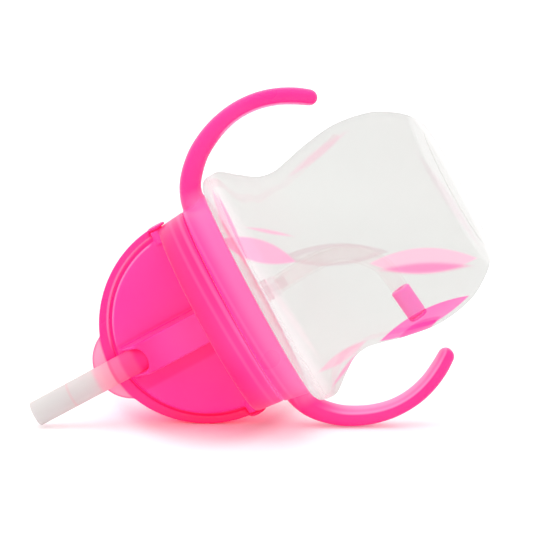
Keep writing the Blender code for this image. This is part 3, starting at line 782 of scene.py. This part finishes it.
def steel(name):
    """Turned steel, with fine rings from stretched noise."""
    mat, tree, where = material(name)
    turned = tree.new("Mapping", {"Vector": where, "Scale": (30.0, 30.0, 900.0)}).outputs[0]
    lathe = tree.noise(turned, scale=6.0, detail=3.0)
    spots = tree.noise(where, scale=500.0, detail=2.0)
    tree.output(tree.bsdf("Principled", {
        "Base Color": tree.colour(spots, (0.50, 0.51, 0.52), (0.62, 0.62, 0.62)),
        "Metallic": 1.0, "Roughness": tree.ramp(lathe, span=(0.3, 0.7), to=(0.2, 0.38)),
        "Normal": tree.bump(lathe, strength=0.15, distance=0.0001)}))
    return mat


def unseen(name):
    """The end faces where one length of rubber runs on into the next."""
    mat, tree, _ = material(name)
    tree.output(tree.bsdf("Transparent", {"Color": (1, 1, 1, 1)}))
    return mat


PINK_LID = pink_lid()
PINK_HANDLE = pink_handle()
PINK_COVER = pink_cover()
PINK_WEIGHT = pink_weight()
CLEAR = clear_plastic("clear_cup", tint=(0.857, 0.863, 0.850), haze=0.11, edge_dark=0.80,
                      rough=(0.01, 0.03), bend=1.0, wall=True)
CLEAR_LINK = clear_plastic("clear_link", tint=(0.995, 0.968, 0.977), haze=0.06, edge_dark=0.955,
                           rough=(0.1, 0.2), bend=1.02)
STRAW = silicone("straw_silicone", srgb(230, 229, 228), through=0.35, clear=0.22,
                 tones=straw_tones)
TUBE = silicone("tube_silicone", srgb(250, 249, 248), through=0.4, clear=0.92)
STEEL = steel("weight_steel")
UNSEEN = unseen("rubber_runs_on")


def dress(obj, mat, body=None, replaces=()):
    """Gives obj its material and its place in the frame."""
    obj.data.materials.clear()
    obj.data.materials.append(mat)
    if body:
        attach(obj, body)
    if replaces:
        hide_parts(*replaces)


# ---------------------------------------------------------------- cup
# height and radius of the outer face, from the foot to the shoulder's top
CUP_SHAPE = ((0.0, 22.0), (1.3, 24.4), (5.2, 28.2), (12.5, 32.3), (23.5, 34.2), (34.5, 32.9),
             (41.8, 31.2), (46.7, 30.3), (51.5, 31.2), (56.4, 34.5), (61.0, 38.0), (64.0, 38.4),
             (66.6, 37.8), (68.0, 35.8))
SHOULDER_Z, SHOULDER_RADIUS = CUP_SHAPE[-1]
CUP_WALL = 1.3
NECK_BORE, NECK_RADIUS, NECK_TOP = 27.6, 29.2, 82.6
FLOOR_Z = 1.9  # the floor inside


def make_cup():
    outer = catmull(CUP_SHAPE, 9)
    inner = [(radius, z) for z, radius in inset(outer, CUP_WALL) if 2.9 < z < 65.0]
    neck = rounded([
        (35.2, 66.0), (32.5, 66.7), (NECK_BORE, 66.7), (NECK_BORE, NECK_TOP),
        (NECK_RADIUS, NECK_TOP), (NECK_RADIUS, SHOULDER_Z), (SHOULDER_RADIUS, SHOULDER_Z)],
        [0.8, 0.6, 1.0, 0.5, 0.5, 0.7, 0.0], closed=False)
    floor = rounded([(0.0, FLOOR_Z), (19.5, FLOOR_Z), (22.9, 2.5)], 3.0, closed=False, steps=6)
    outside = [(radius, z) for z, radius in reversed(outer)][1:]
    underside = [(21.0, 0.0), (19.4, 0.55), (0.0, 0.75)]
    cup = revolve("cup_shell", floor + inner + neck + outside + underside, 144, closed=False,
                  angle=40)
    add_lugs(cup, NECK_RADIUS, 79.6)
    cup.data.shade_smooth()
    cup.data.set_sharp_from_angle(angle=math.radians(40))
    dress(cup, CLEAR, "cup", ("cup_body",))


# ---------------------------------------------------------------- handles
# x, z, half thickness, half width in Y, from the ring to the tip
HANDLE_LINE = catmull((
    (31.9, 72.45, 3.9, 5.2), (35.0, 72.1, 3.55, 4.95), (38.8, 70.6, 3.3, 4.8),
    (42.6, 67.6, 3.2, 4.6), (46.4, 63.2, 3.05, 4.4), (49.5, 57.3, 2.9, 4.2),
    (51.3, 51.5, 2.7, 4.1), (51.9, 46.0, 2.6, 4.0), (51.4, 40.4, 2.6, 4.0),
    (49.8, 35.0, 2.6, 4.0), (47.4, 30.2, 2.6, 4.0), (45.0, 26.6, 2.45, 3.8)), 8)
# powers that square off the oblong section through its thickness and its width
SQUARE_THICK, SQUARE_WIDE = 0.72, 0.80
SOCKET_RADIUS = 30.6  # inside of the handle ring and of the lid's skirt


def handle(side):
    """A bar of soft oblong section with a rounded tip. side is 1 for +X and -1 for -X."""
    centres = [Vector((x, 0.0, z)) for x, z, _, _ in HANDLE_LINE]
    sections = [(centres[i], heading(centres, i), thick, wide)
                for i, (_, _, thick, wide) in enumerate(HANDLE_LINE)]
    centre, run, thick, wide = sections[-1]
    for degrees in range(8, 90, 9):
        cos, sin = math.cos(math.radians(degrees)), math.sin(math.radians(degrees))
        sections.append((centre + run * thick * sin, run, thick * cos, wide - thick * (1 - cos)))
    sides = 40
    verts, rings = [], []
    for centre, run, thick, wide in sections:
        out = Vector((run.z, 0.0, -run.x))
        ring = []
        for k in range(sides):
            a = 2 * math.pi * k / sides
            cos, sin = math.cos(a), math.sin(a)
            cos = math.copysign(abs(cos) ** SQUARE_THICK, cos)
            sin = math.copysign(abs(sin) ** SQUARE_WIDE, sin)
            point = centre + out * thick * cos + Vector((0, 1, 0)) * wide * sin
            ring.append((point.x * side, point.y, point.z))
        rings.append(add_ring(verts, ring))
    faces = bridge(rings) + [tuple(rings[0]), tuple(rings[-1])]
    return mesh_object("arm", verts, faces, None)


def mark_lip(obj):
    """Stores how near each point of a handle is to its inner face: 0 outer side, 1 inner."""
    line = np.array([(x, z) for x, z, _, _ in HANDLE_LINE])
    thick = np.array([half for _, _, half, _ in HANDLE_LINE])
    run = np.gradient(line, axis=0)
    run /= np.linalg.norm(run, axis=1)[:, None]
    inward = np.stack([run[:, 1], -run[:, 0]], 1)
    co = coordinates(obj.data) / MM
    places = np.stack([np.abs(co[:, 0]), co[:, 2]], 1)
    near = np.array([((line - p) ** 2).sum(1).argmin() for p in places])
    depth = ((places - line[near]) * inward[near]).sum(1) / thick[near]
    beyond_ring = places[:, 0] > 34.0
    value = np.clip(depth * 0.5 + 0.5, 0, 1) * beyond_ring
    layer = obj.data.attributes.new("lip", "FLOAT", "POINT")
    layer.data.foreach_set("value", value.astype(np.float32))


def make_handles():
    band = revolve("handle_band", rounded([
        (SOCKET_RADIUS, 76.45), (32.85, 76.45), (34.2, 68.35), (SOCKET_RADIUS, 68.35)],
        [0.25, 0.2, 0.6, 0.3], steps=4), 144)
    for side in (1, -1):
        join(band, handle(side))
    moulded(band, voxel=0.38, rounds=5)
    mark_lip(band)
    dress(band, PINK_HANDLE, "handles", ("handle_ring",))


# ---------------------------------------------------------------- lid
PLUG_RADIUS, PLUG_BORE = 27.3, 25.6  # the short inner skirt
DOME_RADIUS, ROOM_RADIUS = 29.1, 27.3  # outside and inside of the half dome at +Y
BOSS_RADIUS = 2.7  # also the cover's ears
HOUSING_HALF = 5.1
SLOT_HALF, SLOT_CORNER, SLOT_Z = 3.85, 2.2, TOP + 20.9


def lid_skirt():
    skirt = revolve("lid_moulding", rounded([
        (PLUG_BORE, TOP), (31.7, TOP), (32.6, 76.55), (SOCKET_RADIUS, 76.55),
        (SOCKET_RADIUS, TOP - 2.0), (PLUG_RADIUS, TOP - 2.0), (PLUG_RADIUS, TOP - 7.6),
        (PLUG_BORE, TOP - 7.6)], [0.5, 1.3, 0.5, 0.3, 0.4, 0.3, 0.4, 0.2]), 144)
    add_lugs(skirt, SOCKET_RADIUS, 77.7)
    return skirt


def lid_dome():
    """The hollow half dome at +Y, with a boss on the hinge's axis at each end."""
    shell = dome("dome", DOME_RADIUS)
    keep_box(shell, (-40, -1.0, TOP - 1.3), (40, 40, TOP + 40))
    for side in (-1, 1):
        join(shell, cross_bar("boss", BOSS_RADIUS, side * 27.6, side * 31.75, 48))
    room = dome("room", ROOM_RADIUS)
    keep_box(room, (-40, 0.8, TOP - 9), (40, 40, TOP + 40))
    cut(shell, room)
    return shell


def lid_deck():
    """The sunken half floor at -Y."""
    deck = revolve("deck", rounded([
        (0.0, TOP - 6.2), (26.4, TOP - 6.2), (26.4, TOP - 7.4), (0.0, TOP - 7.4)], 0.05,
        closed=False, steps=2), 128, closed=False)
    keep_box(deck, (-40, -40, TOP - 20), (40, 0.2, TOP + 20))
    return deck


def straw_housing():
    outline = rounded([(0.0, TOP - 6.8), (-9.2, TOP - 6.8), (-9.2, TOP + 22.6),
                       (-1.4, TOP + 28.0), (0.0, TOP + 28.0)], [0, 0, 1.6, 0.6, 0])
    return prism("housing", outline, "X", -HOUSING_HALF, HOUSING_HALF)


def straw_slot():
    """The opening towards -Y at the housing's top, with a curved bottom."""
    bottom = [(SLOT_HALF * math.cos(math.radians(a)),
               SLOT_Z + SLOT_CORNER - SLOT_CORNER * math.sin(math.radians(a)))
              for a in range(0, 181, 8)]
    outline = [(SLOT_HALF, TOP + 41)] + bottom + [(-SLOT_HALF, TOP + 41)]
    return prism("slot", outline, "Y", STRAW_Y - 9.0, STRAW_Y + 0.1)


def make_lid():
    lid = lid_skirt()
    join(lid, lid_dome())
    join(lid, lid_deck())
    # the upright wall from the deck up to the dome
    join(lid, box("foot", (-26.2, -0.9, TOP - 7.2), (26.2, 0.7, TOP + 0.7)))
    join(lid, straw_housing())
    cut(lid, bar("bore", 4.2, (0, STRAW_Y, TOP - 12), (0, STRAW_Y, TOP + 40), 64))
    cut(lid, straw_slot())
    for side in (-1, 1):
        cut(lid, cross_bar("pivot", 1.5, side * 29.2, side * 40))
    moulded(lid, voxel=0.40, rounds=4)
    dress(lid, PINK_LID, "lid", ("lid",))


# ---------------------------------------------------------------- flip cover
COVER_RISE = 1.03
TAB_RADIUS = 12.2
EAR_X = 32.15


def thumb_tab():
    """A round leaf that faces along Y."""
    tab = revolve("tab", rounded([(0.0, 0.5), (TAB_RADIUS, 0.5), (TAB_RADIUS, 2.0), (0.0, 2.0)],
                                 0.5, closed=False), 96, closed=False)
    for v in tab.data.vertices:
        x, y, z = v.co
        v.co = (x, z, -y + TAB_Z * MM)
    return tab


def make_cover():
    cover = dome("flip_shell", 32.75, waist=0.012, rise=COVER_RISE)
    keep_box(cover, (-40, 0.4, TOP + 0.4), (40, 40, TOP + 40))
    join(cover, thumb_tab())
    cut(cover, dome("lip", 30.2, waist=0.008))
    hollow = dome("hollow", 30.95, waist=0.01, rise=COVER_RISE)
    keep_box(hollow, (-40, 2.6, TOP - 40), (40, 40, TOP + 40))
    cut(cover, hollow)
    cut(cover, cross_bar("pivot_room", 3.1, -EAR_X, EAR_X, 48))
    for side in (-1, 1):
        join(cover, cross_bar("ear", BOSS_RADIUS, side * EAR_X, side * 33.0, 48))
        join(cover, cross_bar("pin", 1.2, side * 29.8, side * 32.6))
    moulded(cover, voxel=0.36, rounds=3)
    dress(cover, PINK_COVER, "cover", ("flip_cover",))


# ---------------------------------------------------------------- straw
# One run of rubber in straight lengths.
STRAW_TIP, TAPER_Z = 145.3, 107.7  # it narrows from TAPER_Z to the tip
STRAW_RADIUS, STRAW_TAPER, STRAW_BORE = 3.95, 0.10, 2.5
ROOT_TOP, MOUTH_LOW = 101.0, 139.5
FLANGE_RADIUS = 6.2
# low end, high end, where the bend starts and ends, what it stands for
STRAW_LENGTHS = (
    (ROOT_TOP, 110.45, 105.0, 110.4, ("spout_lower",)),
    (110.45, 117.95, 110.5, 115.9, ("spout_middle",)),
    (117.95, 128.2, 118.0, 127.4, ("spout_upper",)),
    (128.2, MOUTH_LOW, 128.3, 139.1, ()))


def straw_radius(z):
    if z < TAPER_Z:
        return STRAW_RADIUS
    return STRAW_RADIUS - STRAW_TAPER * (z - TAPER_Z) / (STRAW_TIP - TAPER_Z)


def on_straw(name, profile, steps=64):
    """A closed profile turned round the straw's axis."""
    return revolve(name, profile, steps, place=(0, STRAW_Y, 0), angle=40)


def open_ends(obj, *heights):
    """Marks the flat faces at these heights, so that the next length shows as one with this."""
    obj.data.materials.append(UNSEEN)
    for face in obj.data.polygons:
        level = any(abs(face.center.z - z * MM) < 1e-5 for z in heights)
        if abs(face.normal.z) > 0.99 and level:
            face.material_index = 1


def straw_length(name, low, high):
    count = 26
    outside = [high + (low - high) * i / count for i in range(count + 1)]
    inside = [low + (high - low) * i / count for i in range(count + 1)]
    return on_straw(name, [(straw_radius(z), z) for z in outside]
                    + [(STRAW_BORE, z) for z in inside])


def make_straw():
    root = on_straw("straw_root", rounded([
        (STRAW_BORE, ROOT_TOP), (STRAW_RADIUS, ROOT_TOP), (STRAW_RADIUS, 77.75),
        (FLANGE_RADIUS, 77.75), (FLANGE_RADIUS, 76.15), (STRAW_RADIUS, 76.15),
        (STRAW_RADIUS, 69.0), (STRAW_BORE, 69.0)],
        [0, 0, 0.5, 0.3, 0.3, 0.5, 0.4, 0.2], steps=4))
    dress(root, STRAW, "lid", ("spout_root",))
    open_ends(root, ROOT_TOP)
    for i, (low, high, start, end, stands_for) in enumerate(STRAW_LENGTHS):
        piece = straw_length(f"straw_bend_{i + 1}", low, high)
        dress(piece, STRAW, replaces=stands_for)
        open_ends(piece, low, high)
        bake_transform(piece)
    mouth = on_straw("straw_mouth", rounded([
        (STRAW_BORE, STRAW_TIP), (3.85, STRAW_TIP), (straw_radius(MOUTH_LOW), MOUTH_LOW),
        (STRAW_BORE, MOUTH_LOW)], [0.35, 0.6, 0, 0]))
    dress(mouth, STRAW, "spout_4", ("spout_tip",))
    open_ends(mouth, MOUTH_LOW)
    valve = on_straw("straw_valve", rounded([
        (2.45, 135.3), (0.35, 134.6), (0.35, 134.0), (2.45, 134.2)], 0.1, steps=2), 48)
    dress(valve, STRAW, "spout_4")


# ---------------------------------------------------------------- connector
LINK_BORE, LINK_RADIUS = 1.2, 3.1


def make_connector():
    """The hollow piece between straw and tube, and the rib round it."""
    body = on_straw("straw_link", rounded([
        (LINK_BORE, 73.6), (1.9, 73.6), (1.9, 68.6), (LINK_RADIUS, 68.6), (LINK_RADIUS, 61.8),
        (1.65, 61.8), (1.65, 58.8), (LINK_BORE, 58.8)],
        [0.2, 0.3, 0.2, 0.5, 0.5, 0.2, 0.3, 0.2], steps=4))
    dress(body, CLEAR_LINK, "lid", ("straw_connector",))
    rib = on_straw("straw_link_rib", rounded([
        (3.05, 66.0), (3.5, 66.0), (3.5, 64.4), (3.05, 64.4)], 0.3, steps=4))
    dress(rib, CLEAR_LINK, "lid")


# ---------------------------------------------------------------- tube
TUBE_RADIUS, TUBE_BORE = 2.8, 2.0
# x and z of the tube's middle, from the connector down to the weight
TUBE_LINE = [Vector((x, STRAW_Y, z)) for x, z in catmull([
    (0.0, 61.5), (0.45, 56.5), (0.75, 50.5), (0.35, 44.5), (-1.4, 38.9), (-5.2, 34.2),
    (-9.6, 31.2), (-14.0, 30.1), (-18.4, 29.6)], 14)]
TUBE_JOINTS = ((0.4, 56.5), (0.2, 45.6), (-5.2, 34.8), (-14.2, 30.1))  # near these x and z
# the body that each length is fixed to, or the two bodies it runs between while fixed to neither,
# and what it stands for
TUBE_LENGTHS = (
    (("lid",), ("tube_upper",)), (("lid", "tube_1"), ()),
    (("tube_1", "tube_2"), ("tube_middle",)), (("tube_2", "weight"), ("tube_lower",)),
    (("weight",), ("tube_end",)))


def nearest(x, z):
    return min(range(len(TUBE_LINE)),
               key=lambda i: (TUBE_LINE[i].x - x) ** 2 + (TUBE_LINE[i].z - z) ** 2)


def tube_piece(name, first, last):
    """The hollow tube between two points of the line, its ends square to it."""
    verts, faces, walls = [], [], []
    for radius in (TUBE_RADIUS, TUBE_BORE):
        rings = []
        for i in range(first, last + 1):
            side = Vector((0, 1, 0))
            other = heading(TUBE_LINE, i).cross(side)
            rings.append(add_ring(verts, circle(TUBE_LINE[i], side, other, radius, 40)))
        faces += bridge(rings)
        walls.append(rings)
    for end in (0, -1):
        faces += bridge([walls[0][end], walls[1][end]])
    return mesh_object(name, verts, faces, 40)


def tube_ends(obj, stations):
    """Marks the end faces at these points of the line as unseen."""
    obj.data.materials.append(UNSEEN)
    for face in obj.data.polygons:
        for i in stations:
            run = heading(TUBE_LINE, i)
            off = (face.center / MM - TUBE_LINE[i]).dot(run)
            if abs(face.normal.dot(run)) > 0.97 and abs(off) < 0.02:
                face.material_index = 1


def make_tube():
    joints = [nearest(x, z) for x, z in TUBE_JOINTS]
    marks = [0] + joints + [len(TUBE_LINE) - 1]
    for i, (bodies, stands_for) in enumerate(TUBE_LENGTHS):
        ends = marks[i], marks[i + 1]
        piece = tube_piece(f"tube_run_{i + 1}", *ends)
        dress(piece, TUBE, bodies[0] if len(bodies) == 1 else None, stands_for)
        tube_ends(piece, [m for m in ends if m in joints])
        if len(bodies) == 2:
            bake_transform(piece)


# ---------------------------------------------------------------- weight
# x and z of the last bend of the tube, and of the weight's near end
LAST_BEND, WEIGHT_START = Vector((-10.0, 30.7)), Vector((-18.4, 29.7))


def make_weight():
    """A pink jacket round a steel slug, with a pink end. Heights run on along the tube."""
    run = (WEIGHT_START - LAST_BEND).normalized()
    tilt = math.atan2(run.x, run.y)
    place = (WEIGHT_START.x, STRAW_Y, WEIGHT_START.y)
    parts = (
        ("weight_jacket", rounded([
            (2.45, 9.7), (2.9, 9.7), (3.05, 9.3), (3.05, 0.7), (2.6, 0.4), (1.2, 0.4),
            (1.2, 1.2), (2.45, 1.2)], [0.1, 0.1, 0.2, 0.4, 0.2, 0.1, 0.1, 0.1], steps=3),
         PINK_WEIGHT, "pink_weight", "weight_sleeve"),
        ("weight_slug", rounded([(1.25, 9.4), (2.15, 9.4), (2.15, 1.55), (1.25, 1.55)], 0.25,
                                steps=4), STEEL, "weight_steel", "weight_core"),
        ("weight_end", rounded([(1.2, 11.0), (2.9, 11.0), (3.05, 10.0), (1.2, 10.0)],
                               [0.2, 0.5, 0.2, 0.1], steps=4),
         PINK_WEIGHT, "pink_weight", "weight_cap"))
    for name, profile, mat, slot, stands_for in parts:
        part = revolve(name, profile, 64, place=place, tilt=tilt, angle=40)
        dress(part, mat, "weight", (stands_for,))


make_cup()
make_handles()
make_lid()
make_cover()
make_straw()
make_connector()
make_tube()
make_weight()


# ---------------------------------------------------------------- camera
camera = bpy.data.cameras.new("camera")
camera.lens, camera.sensor_width = LENS, SENSOR
camera.clip_start, camera.clip_end = 0.01, 30.0
eye = link(bpy.data.objects.new("camera", camera))
eye.rotation_mode = "QUATERNION"
eye.location = EYE
eye.rotation_quaternion = Matrix((RIGHT, UP, BACK)).transposed().to_quaternion()
scene.camera = eye


# ---------------------------------------------------------------- floors
ELEVATION = math.radians(9.0)  # how far the eye looks down on the lying floor
FLOOR_SIZE, FLOOR_CELLS = 6.0, 8


def shown_points():
    """Every point of every piece, in metres."""
    bpy.context.view_layer.update()
    graph = bpy.context.evaluated_depsgraph_get()
    out = []
    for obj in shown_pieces():
        shown = obj.evaluated_get(graph)
        matrix = np.array(shown.matrix_world)
        out.append(coordinates(shown.data) @ matrix[:3, :3].T + matrix[:3, 3])
    return np.concatenate(out)


def lying_floor():
    """The plane that the lying cup rests on: it touches the cover and a handle from below."""
    points = shown_points()
    side = points @ np.array(RIGHT)
    left = side < float(AIM.dot(RIGHT)) - 0.005
    right = side > float(AIM.dot(RIGHT)) + 0.005
    lean = 0.0
    for _ in range(12):
        up = (UP * math.cos(lean) + RIGHT * math.sin(lean)).normalized()
        normal = (up * math.cos(ELEVATION) + BACK * math.sin(ELEVATION)).normalized()
        height = points @ np.array(normal)
        gap = height[right].min() - height[left].min()
        if abs(gap) < 2e-5:
            break
        span = side[right][height[right].argmin()] - side[left][height[left].argmin()]
        lean -= math.atan2(gap, span)
    return normal, min(height[left].min(), height[right].min())


def floor_material(name, for_eye):
    """A white sheet, shown to this script's camera only or to all others only."""
    mat, tree, where = material(name)
    grain = tree.noise(where, scale=500.0, detail=3.0)
    cloud = tree.noise(where, scale=6.0, detail=2.0)
    colour = tree.paint((0.90, 0.90, 0.90), (0.885, 0.885, 0.885), cloud, strength=0.3)
    face = tree.bsdf("Diffuse", {"Color": colour,
                                 "Normal": tree.bump(grain, strength=0.02, distance=0.0002)})
    gone = tree.bsdf("Transparent")
    here = seen_from_eye(tree)
    # the sheet runs up into the light far behind the cup
    away = tree.vec("DISTANCE", where, tuple(AIM))
    strength = tree.ramp(away, span=(0.15, 0.7), to=(0.0, 0.16))
    if for_eye:
        # in mm on the picture plane: clear of glow close round the cover, full beyond
        sight = tree.new("LightPath").outputs["Is Camera Ray"]
        across, along = picture_plane(tree, where)
        side = tree.math("POWER", across, 2.0)
        rise = tree.math("POWER", tree.sub(along, TOP), 2.0)
        far = tree.math("SQRT", tree.add(side, rise))
        glow = tree.ramp(far, span=(35.5, 41.5), to=(0.0, 0.2))
        strength = tree.add(strength, tree.mul(sight, glow))
    lift = tree.new("Emission", {"Color": (1, 1, 1, 1), "Strength": strength}).outputs[0]
    lit = tree.new("AddShader", {0: face, 1: lift}).outputs[0]
    tree.output(tree.mix(here, gone, lit) if for_eye else tree.mix(here, lit, gone))
    return mat


def plane(name, centre, normal, mat):
    """A square grid of FLOOR_CELLS cells a side, in metres."""
    normal = Vector(normal).normalized()
    first = normal.orthogonal().normalized()
    second = normal.cross(first)
    row = FLOOR_CELLS + 1
    steps = [(i / FLOOR_CELLS - 0.5) for i in range(row)]
    verts = [tuple(Vector(centre) + first * a * FLOOR_SIZE + second * b * FLOOR_SIZE)
             for a in steps for b in steps]
    faces = [(i * row + j, i * row + j + 1, (i + 1) * row + j + 1, (i + 1) * row + j)
             for i in range(FLOOR_CELLS) for j in range(FLOOR_CELLS)]
    mesh = bpy.data.meshes.new(name)
    mesh.from_pydata(verts, [], faces)
    mesh.materials.append(mat)
    link(bpy.data.objects.new(name, mesh))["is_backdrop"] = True


normal, level = lying_floor()
plane("lying_floor", normal * (level - 0.0001) + (AIM - normal * AIM.dot(normal)), normal,
      floor_material("floor_lying", True))
plane("standing_floor", (0, 0, -0.0002), (0, 0, 1), floor_material("floor_standing", False))


# ---------------------------------------------------------------- light
def make_world():
    """A white sky, brighter overhead. Each camera gets the overhead of its own floor."""
    world = bpy.data.worlds.new("studio")
    scene.world = world
    tree = Nodes(world)
    way = tree.new("TexCoord").outputs["Generated"]
    here = seen_from_eye(tree)
    high_lying = tree.vec("DOT_PRODUCT", way, tuple(normal))
    high_standing = tree.vec("DOT_PRODUCT", way, (0.0, 0.0, 1.0))
    high = tree.add(tree.mul(here, high_lying), tree.mul(tree.sub(1.0, here), high_standing))
    cloud = tree.noise(way, scale=2.2, detail=1.0)
    sky = tree.mul(tree.ramp(high, span=(-0.2, 0.9), to=(0.86, 1.12)),
                   tree.ramp(cloud, span=(0.35, 0.65), to=(0.95, 1.03)))
    direct = tree.new("LightPath").outputs["Is Camera Ray"]
    backdrop = 1.05  # brightness of the sky when looked at directly
    strength = tree.add(tree.mul(direct, backdrop), tree.mul(tree.sub(1.0, direct), sky))
    shader = tree.new("Background", {"Color": (1, 1, 1, 1), "Strength": strength}).outputs[0]
    tree.output(shader, "World")


def softbox(name, place, target, for_eye):
    """A square light for this script's camera only or for all others only."""
    data = bpy.data.lights.new(name, "AREA")
    data.shape = "SQUARE"
    data.size = 0.5
    data.energy = 1.3
    tree = Nodes(data)
    here = seen_from_eye(tree)
    strength = here if for_eye else tree.sub(1.0, here)
    shader = tree.new("Emission", {"Color": (1, 1, 1, 1), "Strength": strength}).outputs[0]
    tree.output(shader, "Light")
    obj = link(bpy.data.objects.new(name, data))
    obj.location = place
    obj.rotation_mode = "QUATERNION"
    obj.rotation_quaternion = (Vector(target) - Vector(place)).to_track_quat("-Z", "Y")
    obj.visible_camera = False
    obj.visible_glossy = False
    obj.visible_transmission = False
    obj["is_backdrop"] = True


make_world()
middle = Vector((0, 0, 0.07))
softbox("top_light_lying", middle + UP * 0.55 + BACK * 0.18 - RIGHT * 0.1, middle, True)
softbox("top_light_standing", middle + Vector((-0.12, -0.25, 0.55)), middle, False)

# ---------------------------------------------------------------- render settings
scene.view_settings.view_transform = "Standard"
scene.view_settings.look = "None"
if hasattr(scene, "cycles"):  # absent where the Cycles add-on is off
    scene.cycles.max_bounces = 16
    scene.cycles.transmission_bounces = 14
    scene.cycles.transparent_max_bounces = 24
    scene.cycles.diffuse_bounces = 5
    scene.cycles.glossy_bounces = 6
    scene.cycles.use_denoising = True
    scene.cycles.sample_clamp_indirect = 4.0

bpy.context.view_layer.update()
